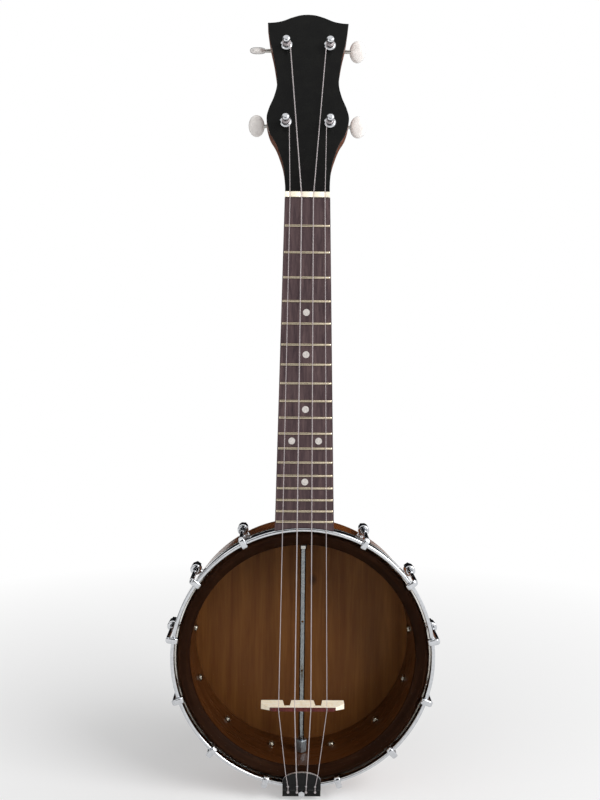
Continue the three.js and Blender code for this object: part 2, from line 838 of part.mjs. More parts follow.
// Side profile of the tailpiece as depth and radius: over the hoop, down outside it, and out to a ledge.
const tailTop = -hoopOverHead - seatGap - tailPlateThickness;
const tailLegInner = hoopOuterRadius + seatGap + seatGap;
const tailLegOuter = tailLegInner + tailPlateThickness;
const tailFrontRadius = tailLegInner - tailReach;
const tailLedgeTop = tailTop + tailLegDrop;
const tailLedgeEnd = tailLegOuter + tailLedgeLength;
const hangerRadius = tailLegOuter + tailLedgeLength / 2;

function makeTailpiece() {
  const thick = tailPlateThickness;
  const flatStart = tailLegInner - tailFlatLength;
  const round = tailBendRadius * Math.SQRT1_2;
  const profile = [
    [tailTop - tailFrontRise, tailFrontRadius],
    [tailTop, flatStart],
    [tailTop, tailLegOuter - tailBendRadius],
    [tailTop + tailBendRadius - round, tailLegOuter - tailBendRadius + round],
    [tailTop + tailBendRadius, tailLegOuter],
    [tailLedgeTop, tailLegOuter],
    [tailLedgeTop, tailLedgeEnd],
    [tailLedgeTop + thick, tailLedgeEnd],
    [tailLedgeTop + thick, tailLegInner],
    [tailTop + thick, tailLegInner],
    [tailTop + thick, flatStart],
    [tailTop + thick - tailFrontRise, tailFrontRadius],
  ];
  const sideAt = (x) => profile.map(([y, radius]) => new THREE.Vector3(x, y, -radius));
  const strip = loft([-tailHalfWidth, tailHalfWidth].map(sideAt));
  const outline = [[tailHalfWidth, -tailLedgeEnd - overrun]];
  for (let i = 0; i <= tailArchSteps; i++) {
    const angle = (Math.PI * i) / tailArchSteps;
    const arch = tailCornerDrop * (1 - Math.sin(angle));
    outline.push([tailHalfWidth * Math.cos(angle), -tailFrontRadius - arch]);
  }
  outline.push([-tailHalfWidth, -tailLedgeEnd - overrun]);
  const blank = laidOnY(plate(outline, 2 * rimDepth));
  const slots = stringPlaces(stringSpacingAtSlots).map((x) =>
    new THREE.BoxGeometry(tailSlotWidth, tailLegDrop, tailSlotLength).translate(
      x,
      tailTop,
      -tailLegOuter + tailSlotLength / 2 - seatGap,
    ),
  );
  const hole = barAlongY(
    roundFlats(hangerBoltRadius + seatGap, smallSides),
    tailLedgeTop - overrun,
    tailLedgeTop + overrun,
    smallSides,
  ).translate(0, 0, -hangerRadius);
  return cutBy(shared(strip, outward(blank)), ...slots, hole);
}

// The tailpiece's bolt: a nut on the ledge, a rod down outside the hoops, and a fixing through the rim.
function makeTailHanger() {
  const nutFace = tailLedgeTop - seatGap;
  const boltReach = ferruleGrip + seatGap - ferruleTop;
  const fixing = rimFixing(hangerRadius, rodDepth, shoeEndRadius, shoeEndRadius, [
    [0, boltReach],
    [boltRadius, boltReach],
  ]);
  fixing.rotateY(Math.PI);
  const bolt = barAlongY(hangerBoltRadius, nutFace - hangerNutHeight / 2, rodDepth, smallSides);
  bolt.translate(0, 0, -hangerRadius);
  const nut = hexNut(hangerNutAcross, nutFace - hangerNutHeight, nutFace).translate(0, 0, -hangerRadius);
  return joined(fixing, bolt, nut);
}

// The bridge stands square on the side of the neck and slopes on the side of the tailpiece.
function makeBridge() {
  const bodyTop = bridgeHeight - bridgeCapHeight;
  const archTop = bridgeArchHeight;
  const inset = bridgeArchTopInset;
  const half = [
    [bridgeMiddleFoot, 0],
    [bridgeMiddleFoot + inset, archTop],
    [bridgeOuterFootInset - inset, archTop],
    [bridgeOuterFootInset, 0],
    [bridgeHalfLength, 0],
    [bridgeHalfLength, bridgeShoulderHeight],
    [bridgeCapHalfLength, bodyTop],
  ];
  const mirror = half.map(([x, up]) => [-x, up]).reverse();
  const slope = (bridgeFootThickness - bridgeTopThickness) / bodyTop;
  const square = bridgeTopThickness / 2 - bridgeBelowCentre;
  const front = [...half, ...mirror].map(([x, up]) => new THREE.Vector3(x, -filmThickness - up, square));
  const back = [...half, ...mirror].map(([x, up]) => {
    const thickness = bridgeFootThickness - slope * up;
    return new THREE.Vector3(x, -filmThickness - up, square - thickness);
  });
  return loft([front, back]);
}

function makeBridgeCap() {
  const bottom = bridgeHeight - bridgeCapHeight;
  const row = notches(stringPlaces(stringSpacingAtBridge), bridgeHeight, notchDepth);
  const outline = [
    [-bridgeCapHalfLength, bottom],
    [-bridgeCapHalfLength + bridgeCapHeight, bridgeHeight],
    ...row,
    [bridgeCapHalfLength - bridgeCapHeight, bridgeHeight],
    [bridgeCapHalfLength, bottom],
  ];
  const faces = [bridgeTopThickness / 2, -bridgeTopThickness / 2].map((along) =>
    outline.map(([x, up]) => new THREE.Vector3(x, -filmThickness - up, along - bridgeBelowCentre)),
  );
  return loft(faces);
}

// The post of one machine: knob, waist for the string, shaft, toothed wheel and its screw.
function makePost() {
  const crown = postHeight - postKnobHeight * (1 - postKnobCrownShare);
  const knobFoot = postHeight - postKnobHeight;
  const waistFoot = bushingFlangeHeight + seatGap + postFootHeight;
  const screwBack = wheelBack + wheelScrewHeight;
  const stem = turned(
    [
      [0, -postHeight],
      [postKnobRadius * postKnobCrownShare, -postHeight],
      [postKnobRadius, -crown],
      [postKnobRadius, -knobFoot - postKnobHeight / 4],
      [postWaistRadius, -knobFoot],
      [postWaistRadius, -waistFoot],
      [postRadius, -waistFoot],
      [postRadius, wheelFront + seatGap],
      [wheelScrewRadius, wheelFront + seatGap],
      [wheelScrewRadius, screwBack - wheelScrewHeight / 2],
      [wheelScrewRadius / 2, screwBack],
      [0, screwBack],
    ],
    postSides,
  );
  const hole = barAlongY(postHoleRadius, -overrun, overrun, smallSides)
    .rotateX(Math.PI / 2)
    .translate(0, -knobFoot + postHoleRadius + seatGap, 0);
  return cutBy(joined(stem, makeWheel()), hole);
}

// The wheel's teeth lean with the worm's thread, so its two faces are turned a little from each other.
function makeWheel() {
  const tipRadius = wheelPitchRadius + toothAddendum;
  const rootRadius = wheelPitchRadius - toothDedendum;
  const tipHalf = (toothHalf - toothAddendum * flankSlope) / tipRadius;
  const rootHalf = (toothHalf + toothDedendum * flankSlope) / rootRadius;
  const lean = (toothPitch * Math.asin(wheelWidth / 2 / wormPitchRadius)) / (2 * Math.PI * wheelPitchRadius);
  const face = (depth, turn) => {
    const ring = [];
    for (let k = 0; k < wheelTeeth; k++) {
      const centre = (2 * Math.PI * (k + 1 / 2)) / wheelTeeth + turn;
      const corners = [
        [rootRadius, -rootHalf],
        [tipRadius, -tipHalf],
        [tipRadius, tipHalf],
        [rootRadius, rootHalf],
      ];
      corners.forEach(([radius, offset]) => {
        const angle = centre + offset;
        ring.push(new THREE.Vector3(radius * Math.sin(angle), depth, radius * Math.cos(angle)));
      });
    }
    return ring;
  };
  return loft([face(wheelFront, -lean), face(wheelBack, lean)]);
}

// The worm's thread as a ridge wound along x, sunk into its shaft.
function wormThread() {
  const base = wormRootRadius * threadSinkShare;
  const section = [
    [base, toothHalf + (wormPitchRadius - base) * flankSlope],
    [wormTipRadius, toothHalf - wormTipRise * flankSlope],
    [wormTipRadius, wormTipRise * flankSlope - toothHalf],
    [base, -toothHalf - (wormPitchRadius - base) * flankSlope],
  ];
  const steps = Math.round(wormTurns * wormStepsPerTurn);
  const rings = [];
  for (let i = 0; i <= steps; i++) {
    const angle = (2 * Math.PI * (i - steps / 2)) / wormStepsPerTurn;
    const along = (toothPitch * angle) / (2 * Math.PI);
    const [depth, height] = [Math.sin(angle), -Math.cos(angle)];
    rings.push(
      section.map(([radius, half]) => new THREE.Vector3(along + half, radius * depth, radius * height)),
    );
  }
  return loft(rings);
}

// The worm on its shaft, from the stub past the inner lug to the end inside the button.
function makeWorm() {
  const collar = lugInnerFace - seatGap;
  const shaft = turned(
    [
      [0, -lugOuterFace - journalStub],
      [journalRadius, -lugOuterFace - journalStub],
      [journalRadius, -collar],
      [wormPitchRadius, -collar],
      [wormPitchRadius, wormCollarLength - collar],
      [wormRootRadius, wormCollarLength - collar],
      [wormRootRadius, collar - wormCollarLength],
      [wormPitchRadius, collar - wormCollarLength],
      [wormPitchRadius, collar],
      [journalRadius, collar],
      [journalRadius, lugOuterFace + seatGap],
      [shaftRadius, lugOuterFace + seatGap],
      [shaftRadius, buttonInnerEnd + shaftIntoButton],
      [0, buttonInnerEnd + shaftIntoButton],
    ],
    wormSides,
  ).rotateZ(-Math.PI / 2);
  return joined(outward(shaft), wormThread()).translate(0, wormDepth, wormOffset);
}

// One button, a flat oval with rounded edges and a blind bore for the shaft.
function makeButton(turn) {
  const half = buttonThickness / 2;
  const edge = half * buttonEdgeDepthShare;
  const profile = [
    [0, -half],
    [buttonFaceShare, -half],
    [buttonEdgeShare, -edge],
    [1, 0],
    [buttonEdgeShare, edge],
    [buttonFaceShare, half],
    [0, half],
  ];
  const oval = turned(profile, buttonSides)
    .scale(buttonLength / 2, 1, buttonWidth / 2)
    .rotateX(THREE.MathUtils.degToRad(turn))
    .translate(buttonInnerEnd + buttonLength / 2, 0, 0);
  const boreRadius = roundFlats(shaftRadius + seatGap, smallSides);
  const bore = barAlongY(boreRadius, 0, buttonInnerEnd + shaftIntoButton + seatGap, smallSides);
  return cutBy(outward(oval), bore.rotateZ(-Math.PI / 2)).translate(0, wormDepth, wormOffset);
}

// A lug that carries one end of the worm: a rounded ear with its journal hole.
function makeLug(place) {
  const reach = wormDepth + lugHalfWidth;
  const outline = [[wormOffset - lugHalfWidth, plateFront + plateThickness / 2]];
  for (let i = 0; i <= 4; i++) {
    const angle = (Math.PI * i) / 4;
    const up = wormOffset - lugHalfWidth * Math.cos(angle);
    outline.push([up, reach - lugHalfWidth * (1 - Math.sin(angle))]);
  }
  outline.push([wormOffset + lugHalfWidth, plateFront + plateThickness / 2]);
  const faces = [place - lugThickness / 2, place + lugThickness / 2].map((x) =>
    outline.map(([up, depth]) => new THREE.Vector3(x, depth, up)),
  );
  return loft(faces);
}

// The frame of one machine: bushing through the headstock, plate on its back, and the worm's two lugs.
function makeTunerFrame() {
  const bushing = turned(
    [
      [0, -seatGap - bushingFlangeHeight],
      [bushingTopRadius, -seatGap - bushingFlangeHeight],
      [bushingFlangeRadius, -seatGap - bushingFlangeHeight / 2],
      [bushingFlangeRadius, -seatGap],
      [bushingRadius, -seatGap],
      [bushingRadius, plateFront + plateThickness / 2],
      [0, plateFront + plateThickness / 2],
    ],
    postSides,
  );
  const top = wormOffset + lugHalfWidth;
  const c = plateCorner;
  const outline = [
    [plateHalfWidth, c - plateTailReach],
    [plateHalfWidth, top - c],
    [plateHalfWidth - c, top],
    [c - plateHalfWidth, top],
    [-plateHalfWidth, top - c],
    [-plateHalfWidth, c - plateTailReach],
    [c - plateHalfWidth, -plateTailReach],
    [plateHalfWidth - c, -plateTailReach],
  ];
  const base = laidOnY(plate(outline, plateThickness));
  base.translate(0, plateFront + plateThickness / 2, 0);
  const postHole = roundFlats(postRadius + runningGap, postSides);
  const postBore = barAlongY(postHole, -overrun, plateBack + overrun, postSides);
  const journalHole = roundFlats(journalRadius + runningGap, wormSides);
  const journalReach = lugOuterFace + overrun;
  const journalBore = barAlongY(journalHole, -journalReach, journalReach, wormSides);
  journalBore.rotateZ(-Math.PI / 2).translate(0, wormDepth, wormOffset);
  return cutBy(
    joined(bushing, outward(base), makeLug(-lugOffset), makeLug(lugOffset)),
    postBore,
    journalBore,
  );
}

// Where a string of this radius lies over the notch of a piece with this top.
const notchSlant = Math.hypot(notchHalfWidth, notchDepth) / notchHalfWidth;
const overNotch = (top, radius) => top - notchDepth + (seatGap + radius) * notchSlant;

// The machine that each string runs to, from the viewer's left to the right.
const stringPosts = ["lower_left", "upper_left", "upper_right", "lower_right"];

// The turns of a string round its post, from where it arrives, in the pot's frame.
function windingPoints(place, arrival, radius) {
  const centre = new THREE.Vector2(place.side * postSpreadHalf, place.height);
  const loopRadius = postWaistRadius + seatGap + radius;
  const toNut = arrival.clone().sub(centre);
  const lean = Math.acos(loopRadius / toNut.length());
  const start = toNut.angle() - place.side * lean;
  const lowest = -(bushingFlangeHeight + seatGap + postFootHeight + seatGap + radius);
  const steps = windingTurns * windingStepsPerTurn;
  return Array.from({ length: steps + 1 }, (_, i) => {
    const angle = start - (place.side * 2 * Math.PI * i) / windingStepsPerTurn;
    const depth = lowest - (windingPitch * i) / windingStepsPerTurn;
    return new THREE.Vector3(
      centre.x + loopRadius * Math.cos(angle),
      depth,
      centre.y + loopRadius * Math.sin(angle),
    ).applyMatrix4(headToPot);
  });
}

// Least gap of a winding to itself, over points that are more than half a turn apart.
function leastGap(points, radius) {
  let least = Infinity;
  for (let i = 0; i < points.length; i++) {
    for (let j = i + windingStepsPerTurn / 2; j < points.length; j++) {
      least = Math.min(least, points[i].distanceTo(points[j]) - 2 * radius);
    }
  }
  return least;
}

// One string: its turns on the post, then over nut, bridge and tailpiece to a knot past the slot.
function makeString(index) {
  const radius = stringRadii[index];
  const place = postPlaces.find((post) => post.name === stringPosts[index]);
  const xAt = (spacing) => stringPlaces(spacing)[index];
  const nutUp = overNotch(nutCrown, radius);
  const nutPoint = new THREE.Vector3(xAt(stringSpacingAtNut), -nutUp, seatGap);
  const nutInHead = nutPoint.clone().applyMatrix4(headToNeck.clone().invert());
  const winding = windingPoints(place, new THREE.Vector2(nutInHead.x, nutInHead.z), radius).reverse();
  const bridgeUp = filmThickness + overNotch(bridgeHeight, radius);
  const plateClear = seatGap + radius;
  const knotPlace = tailLegOuter + seatGap + knotRadius;
  const slotDepth = tailTop + tailBendRadius / 2;
  const route = [
    nutPoint.applyMatrix4(neckToPot),
    new THREE.Vector3(xAt(stringSpacingAtBridge), -bridgeUp, -bridgeBelowCentre),
    new THREE.Vector3(xAt(stringSpacingAtTail), tailTop - tailFrontRise - plateClear, -tailFrontRadius),
    new THREE.Vector3(xAt(stringSpacingAtSlots), tailTop - plateClear, -tailLegInner + tailFlatLength / 2),
    new THREE.Vector3(xAt(stringSpacingAtSlots), slotDepth, -tailLegOuter),
  ];
  const knot = [];
  for (let i = 1; i < knotSteps; i++) {
    knot.push([-Math.cos((Math.PI * i) / knotSteps), Math.sin((Math.PI * i) / knotSteps)]);
  }
  const knotPoints = knot.map(
    ([along]) =>
      new THREE.Vector3(xAt(stringSpacingAtSlots), slotDepth, -knotPlace - along * knotRadius),
  );
  const points = [...winding, ...route, ...knotPoints];
  const radii = [...winding, ...route].map(() => radius).concat(knot.map(([, share]) => share * knotRadius));
  console.log(`string ${index + 1}: least gap of its winding ${leastGap(winding, radius).toFixed(2)} mm`);
  return tube(points, radii, stringSides);
}

// The pieces of the pot
addPiece(pot, "rim", makeRim(), rimWood);
addPiece(pot, "back_plate", makeBack(), backWood);
addPiece(pot, "drum_head", makeDrumHead(), clearFilm);
addPiece(pot, "flesh_hoop", makeFleshHoop(), chrome);
addPiece(pot, "tension_hoop", makeTensionHoop(), chrome);
hookAngles.forEach((angle, i) => {
  addPiece(pot, `hook_${i + 1}`, makeHook(), chrome).rotation.y = angle;
  addPiece(pot, `shoe_${i + 1}`, makeShoe(), chrome).rotation.y = angle;
});
addPiece(pot, "coordinator_rod", makeRod(), chrome);
addPiece(pot, "rod_neck_nut", rodNut(neckNutAcross, clampFace - neckNutHeight, clampFace), chrome);
addPiece(pot, "rod_tail_ferrule", rodNut(ferruleAcross, -clampFace, ferruleTop), chrome);
addPiece(pot, "tailpiece", makeTailpiece(), blackChrome);
addPiece(pot, "tailpiece_hanger", makeTailHanger(), chrome);
addPiece(pot, "bridge", makeBridge(), maple);
addPiece(pot, "bridge_cap", makeBridgeCap(), redwood);

// The pieces of the neck
addPiece(neckFrame, "neck", makeNeck(), mahogany);
addPiece(neckFrame, "fingerboard", makeFingerboard(), rosewood);
addPiece(neckFrame, "nut", makeNut(), bone);
addPiece(headFrame, "headstock_veneer", makeVeneer(), blackVeneer);

// The four machines, the left ones as mirror images
postPlaces.forEach(({ name, side, height }) => {
  const placed = (geometry) => geometry.scale(side, 1, 1).translate(side * postSpreadHalf, 0, height);
  addPiece(headFrame, `tuner_frame_${name}`, placed(makeTunerFrame()), chrome);
  addPiece(headFrame, `tuner_post_${name}`, placed(makePost()), chrome);
  addPiece(headFrame, `tuner_worm_${name}`, placed(makeWorm()), chrome);
  addPiece(headFrame, `tuner_button_${name}`, placed(makeButton(buttonTurns[name])), pearl);
});

stringRadii.forEach((_, i) => addPiece(pot, `string_${i + 1}`, makeString(i), nylon));

// The group's zero is midway between the places where the yoke's arms hold the headstock.
const seat = new THREE.Vector3(0, headBack / 2, hangerHeightShare * headLength).applyMatrix4(headToPot);
pot.position.copy(seat).negate();

export default instrument;
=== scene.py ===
import math

import bmesh
import bpy
from mathutils import Matrix, Vector


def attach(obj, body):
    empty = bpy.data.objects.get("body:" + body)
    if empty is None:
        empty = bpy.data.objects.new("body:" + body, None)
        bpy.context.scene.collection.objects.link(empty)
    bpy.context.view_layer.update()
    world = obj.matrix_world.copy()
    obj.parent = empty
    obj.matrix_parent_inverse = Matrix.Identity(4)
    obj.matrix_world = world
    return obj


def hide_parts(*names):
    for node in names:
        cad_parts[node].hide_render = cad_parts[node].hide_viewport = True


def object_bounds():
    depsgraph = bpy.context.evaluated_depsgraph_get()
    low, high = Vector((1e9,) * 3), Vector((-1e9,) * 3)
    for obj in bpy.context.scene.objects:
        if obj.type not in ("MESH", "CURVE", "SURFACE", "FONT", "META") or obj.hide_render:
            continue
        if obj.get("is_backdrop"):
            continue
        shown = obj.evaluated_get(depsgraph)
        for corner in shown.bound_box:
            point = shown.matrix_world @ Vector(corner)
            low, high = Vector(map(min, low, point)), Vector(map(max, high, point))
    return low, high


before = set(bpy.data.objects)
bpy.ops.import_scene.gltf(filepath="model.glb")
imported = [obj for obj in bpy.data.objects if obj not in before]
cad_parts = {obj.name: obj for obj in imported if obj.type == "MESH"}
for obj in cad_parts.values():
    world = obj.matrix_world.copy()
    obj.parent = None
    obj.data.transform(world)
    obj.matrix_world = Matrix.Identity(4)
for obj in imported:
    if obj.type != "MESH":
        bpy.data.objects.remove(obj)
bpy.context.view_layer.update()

# ---- Sizes in millimetres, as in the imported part. Leans are in radians, turns in degrees ----
MM = 0.001
GAP = 0.3
NUT_TO_POT = 352.7
NECK_LEAN = math.radians(3.6)
HEAD_LEAN = math.radians(12)

NUT_WIDTH = 34
BODY_END_WIDTH = 44.4
BOARD_THICK = 5
BOARD_OVER_HEAD = 2.9
SCALE = 381
FRETS = 18
FRET_WIDTH = 1.9
FRET_HEIGHT = 1.0
DOT_FRETS = (5, 7, 10, 15)
DOT_RADIUS = 2.6
DOUBLE_DOT_FRET = 12
DOUBLE_DOT_SPREAD = 10.2
NUT_LENGTH = 4.6
NUT_CROWN = 1.3
NUT_DROP = 0.9

RIM_OUTER = 98
RIM_INNER = 87.4
RIM_DEPTH = 54.7
FILM = 0.45
FILM_INNER = 98.3
FILM_OUTER = 98.75
HOOP_INNER = 99.05
HOOP_OUTER = 102
HOOP_TOP = -3
HOOP_FOOT = 6.8
FLESH_FOOT = 10.8
BACK_FRONT = 55
BACK_FACE = 58
POT_FACETS = 240

NECK_DEPTH = 13
NECK_DEPTH_AT_HEEL = 15
HEEL_DEPTH = 43
HEEL_LENGTH = 60
SHAFT_LENGTH = NUT_TO_POT - RIM_OUTER - HEEL_LENGTH

HEAD_LENGTH = 150
HEAD_HALF_WIDTH = 32
HEAD_DROP = 2.5
VENEER = 1.5
HEAD_WOOD = 12.5
HEAD_BACK = VENEER + GAP + HEAD_WOOD
HANGER_HEIGHT = 0.253 * HEAD_LENGTH

HOOK_SPACING = 27.3
HOOKS_A_SIDE = 6
HOOK_RADIUS = 105
HOOK_ROD = 1.7
HOOK_END = 48.1
HOOK_THREAD = 0.5
CLAW_BEND = 1.6
CLAW_DEPTH = -2.8
CLAW_TIP = 97.65
SHOE_DEPTH = 35
SHOE_HALF = 5
SHOE_SLOT_HALF = 0.4
ROD_DEPTH = 30
ROD_HOLE = 0.9
ROD_HOLE_SPREAD = 20
ROD_STUD = 1.9
ROD_STUD_BORE = 2.2
ROD_SOCKET = 2.3

TAIL_HALF_WIDTH = 14.8
TAIL_REACH = 14.6
TAIL_ARCH = 8
TAIL_EDGE = -7.1
TAIL_TOP = -4.7
TAIL_SHEET = 1.4
TAIL_SLOT_HALF = 0.8
TAIL_LEG = 102.6
HANGER_RADIUS = 106.95

BRIDGE_BELOW = 34.3
BRIDGE_HEIGHT = 16.7
BRIDGE_HALF_TOP = 1.2
CAP_HEIGHT = 2
CAP_REACH = 25.2

STRING_RADII = [0.301, 0.43, 0.3698, 0.2795]
AT_NUT = 8.85
AT_BRIDGE = 12.2
AT_TAIL = 8.4
AT_SLOTS = 7
NOTCH_HALF = 0.9
NOTCH_DEPTH = 0.6
WINDING_PITCH = 1.35
KNOT_RADIUS = 1

POST_SPREAD = 17.1
POST_HEIGHTS = {"upper": 123, "lower": 57}
WAIST_RADIUS = 2.1
BUSHING_BORE = 2.85
BUSHING_FLANGE = 1.6
POST_FOOT = 0.4
PLATE_THICK = 1.2
LUG_HALF = 2.6
LUG_PLACE = 5.4
WORM_DEPTH = 18.6
WORM_OFFSET = 6.1
WORM_LEAD = 1.885
WORM_PITCH = 1.9
WHEEL_PITCH = 4.2
WHEEL_HALF = 1.5
WHEEL_TEETH = 14
BUTTON_PLACE = 23.1
BUTTON_HALF = (6.4, 2.65, 8.5)
BUTTON_TURNS = {"upper_left": 122, "upper_right": 32, "lower_left": 35, "lower_right": 20}


# ---- Frames: each takes millimetres of its own to metres of the part ----
def leaned(angle, place):
    """A frame at this place, leaned back by the angle."""
    return Matrix.Translation(place) @ Matrix.Rotation(-angle, 4, "X")


board_over = BOARD_OVER_HEAD + RIM_OUTER * math.tan(NECK_LEAN)
neck_place = (
    0,
    NUT_TO_POT * math.sin(NECK_LEAN) - board_over * math.cos(NECK_LEAN),
    NUT_TO_POT * math.cos(NECK_LEAN) + board_over * math.sin(NECK_LEAN),
)
NECK_IN_POT = leaned(NECK_LEAN, neck_place)
HEAD_IN_NECK = leaned(HEAD_LEAN, (0, HEAD_DROP, NUT_LENGTH + 2 * GAP))
HEAD_IN_POT = NECK_IN_POT @ HEAD_IN_NECK
seat = HEAD_IN_POT @ Vector((0, HEAD_BACK / 2, HANGER_HEIGHT))
POT = Matrix.Scale(MM, 4) @ Matrix.Translation(-seat)
NECK = POT @ NECK_IN_POT
HEAD = POT @ HEAD_IN_POT
# What lays a form's own y along z or along x
ALONG_Z = Matrix.Rotation(math.pi / 2, 4, "X")
ALONG_X = Matrix.Rotation(-math.pi / 2, 4, "Z")
MOVE = Matrix.Translation


# ---- Forms: a list of points and a list of faces ----
def rounded(corners, ring=False, steps=5):
    """A path from corners of (a, b) or (a, b, radius), each radius worn to an arc."""
    path = []
    last = len(corners) - 1
    for i, corner in enumerate(corners):
        here = Vector(corner[:2])
        if len(corner) < 3 or (not ring and i in (0, last)):
            path.append(here)
            continue
        before = Vector(corners[i - 1][:2]) - here
        after = Vector(corners[(i + 1) % len(corners)][:2]) - here
        half = before.angle(after) / 2
        cut = min(corner[2] / math.tan(half), 0.49 * before.length, 0.49 * after.length)
        radius = cut * math.tan(half)
        middle = (before.normalized() + after.normalized()).normalized()
        centre = here + middle * (radius / math.sin(half))
        first = here + before.normalized() * cut - centre
        turn = first.angle_signed(here + after.normalized() * cut - centre)
        for k in range(steps + 1):
            path.append(centre + Matrix.Rotation(-turn * k / steps, 2) @ first)
    return path


def turned(path, segments, ring=False):
    """A form turned about y from a path of radius and place. A ring's path closes on itself."""
    points, rows = [], []
    for radius, along in path:
        count = 1 if radius < 1e-6 else segments
        rows.append(range(len(points), len(points) + count))
        for k in range(count):
            angle = math.tau * k / segments
            points.append(Vector((radius * math.sin(angle), along, radius * math.cos(angle))))
    faces = []
    pairs = list(zip(rows, rows[1:])) + ([(rows[-1], rows[0])] if ring else [])
    for low, high in pairs:
        for k in range(segments):
            near, far = ([row[i % len(row)] for row in (low, high)] for i in (k, k + 1))
            face = list(dict.fromkeys((near[0], far[0], far[1], near[1])))
            if len(face) > 2:
                faces.append(face)
    return points, faces


def bar(radius, low, high, segments=24):
    """A plain round bar about y."""
    return turned([(0, low), (radius, low), (radius, high), (0, high)], segments)


def lofted(rings):
    """A closed form through rings with as many points each, flat at both ends."""
    count = len(rings[0])
    points = [Vector(point) for ring in rings for point in ring]
    faces = [tuple(range(count)), tuple(range(len(points) - count, len(points)))]
    for i in range(len(rings) - 1):
        for j in range(count):
            a, b = i * count + j, i * count + (j + 1) % count
            faces.append((a, b, b + count, a + count))
    return points, faces


def tube(path, radii, sides=14):
    """A round tube along a path, which keeps its own radius at each point."""
    rings = []
    side = (path[1] - path[0]).orthogonal().normalized()
    for i, point in enumerate(path):
        along = (path[min(i + 1, len(path) - 1)] - path[max(i - 1, 0)]).normalized()
        side = (side - along * side.dot(along)).normalized()
        up = along.cross(side)
        rings.append([
            point + radii[i] * (math.cos(a) * side + math.sin(a) * up)
            for a in (math.tau * j / sides for j in range(sides))
        ])
    return lofted(rings)


def bent(stations, places=24):
    """A bar through stations of radius, depth, the way that its outer side faces in degrees, half
    width, half thickness and squareness. 0 faces away from the pot and -90 faces forward."""
    rings = []
    for radius, depth, facing, width, thick, power in stations:
        turn = math.radians(facing)
        ring = []
        for k in range(places):
            angle = math.tau * (k + 0.5) / places
            c, s = math.cos(angle), math.sin(angle)
            across = width * math.copysign(abs(c) ** (2 / power), c)
            out = thick * math.copysign(abs(s) ** (2 / power), s)
            ring.append((across, depth + out * math.sin(turn), radius + out * math.cos(turn)))
        rings.append(ring)
    return lofted(rings)


def hexagon(across, low, high, chamfer=0.4):
    """A hexagon nut about y, across its flats, with worn ends."""
    corner = across / math.sqrt(3)
    rings = []
    for along, share in ((low, 0.9), (low + chamfer, 1), (high - chamfer, 1), (high, 0.9)):
        rings.append([
            (corner * share * math.sin(a), along, corner * share * math.cos(a))
            for a in (math.radians(60 * k) for k in range(6))
        ])
    return lofted(rings)


def box(low, high):
    """A block between two opposite corners."""
    (x0, y0, z0), (x1, y1, z1) = low, high
    return lofted([[(x0, y0, z), (x1, y0, z), (x1, y1, z), (x0, y1, z)] for z in (z0, z1)])


# ---- Pieces ----
def shown(name, data):
    """An object of the scene that holds this mesh, light or camera."""
    made = bpy.data.objects.new(name, data)
    bpy.context.scene.collection.objects.link(made)
    return made


def mesh_of(name, points, faces):
    """A mesh with its faces turned outwards."""
    mesh = bpy.data.meshes.new(name)
    mesh.from_pydata(points, [], faces)
    shell = bmesh.new()
    shell.from_mesh(mesh)
    bmesh.ops.recalc_face_normals(shell, faces=shell.faces)
    shell.to_mesh(mesh)
    shell.free()
    return mesh


def piece(name, parts, body="instrument", stands_for=(), slot=None, sharp=35, worn=0, works=()):
    """One piece from parts of form, frame and finish. A finish may choose by a face's own centre.
    worn rounds its edges by that many millimetres. works are done in turn, in millimetres, each
    of an operation, a form and a frame: DIFFERENCE takes the form away and UNION adds it."""
    points, faces, finishes, chosen = [], [], [], []
    for form, matrix, finish in parts:
        start = len(points)
        points += [matrix @ Vector(point) / MM for point in form[0]]
        for face in form[1]:
            faces.append([start + i for i in face])
            look = finish
            if callable(finish):
                look = finish(sum((Vector(form[0][i]) for i in face), Vector()) / len(face))
            if look not in finishes:
                finishes.append(look)
            chosen.append(finishes.index(look))
    mesh = mesh_of(name, points, faces)
    for look in finishes:
        mesh.materials.append(look)
    mesh.polygons.foreach_set("material_index", chosen)
    made = shown(name, mesh)
    for operation, form, matrix in works:
        tool = shown("tool", mesh_of("tool", [matrix @ Vector(p) / MM for p in form[0]], form[1]))
        cut = made.modifiers.new("cut", "BOOLEAN")
        cut.object = tool
        cut.operation = operation
        cut.solver = "MANIFOLD"
        bpy.context.view_layer.update()
        worked = made.evaluated_get(bpy.context.evaluated_depsgraph_get())
        made.data = bpy.data.meshes.new_from_object(worked)
        made.modifiers.clear()
        bpy.data.objects.remove(tool)
    mesh = made.data
    if works:
        cleared = bmesh.new()
        cleared.from_mesh(mesh)
        bmesh.ops.dissolve_degenerate(cleared, edges=cleared.edges, dist=0.002)
        bmesh.ops.dissolve_limit(
            cleared, angle_limit=math.radians(0.4), verts=cleared.verts, edges=cleared.edges,
            delimit={"MATERIAL"},
        )
        cleared.to_mesh(mesh)
        cleared.free()
    mesh.transform(Matrix.Scale(MM, 4))
    mesh.polygons.foreach_set("use_smooth", [True] * len(mesh.polygons))
    mesh.set_sharp_from_angle(angle=math.radians(180 if worn else sharp))
    if worn:
        edge = made.modifiers.new("worn edges", "BEVEL")
        edge.width = worn * MM
        edge.segments = 3
        edge.angle_limit = math.radians(sharp)
        edge.harden_normals = True
    elif works:
        made.modifiers.new("flat faces", "WEIGHTED_NORMAL").keep_sharp = True
    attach(made, body)
    if stands_for:
        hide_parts(*stands_for)


# ---- Finishes ----
def colour(code):
    """A linear colour from an sRGB hex value."""
    shares = [int(code[i : i + 2], 16) / 255 for i in (1, 3, 5)]
    return [s / 12.92 if s <= 0.04045 else ((s + 0.055) / 1.055) ** 2.4 for s in shares] + [1]


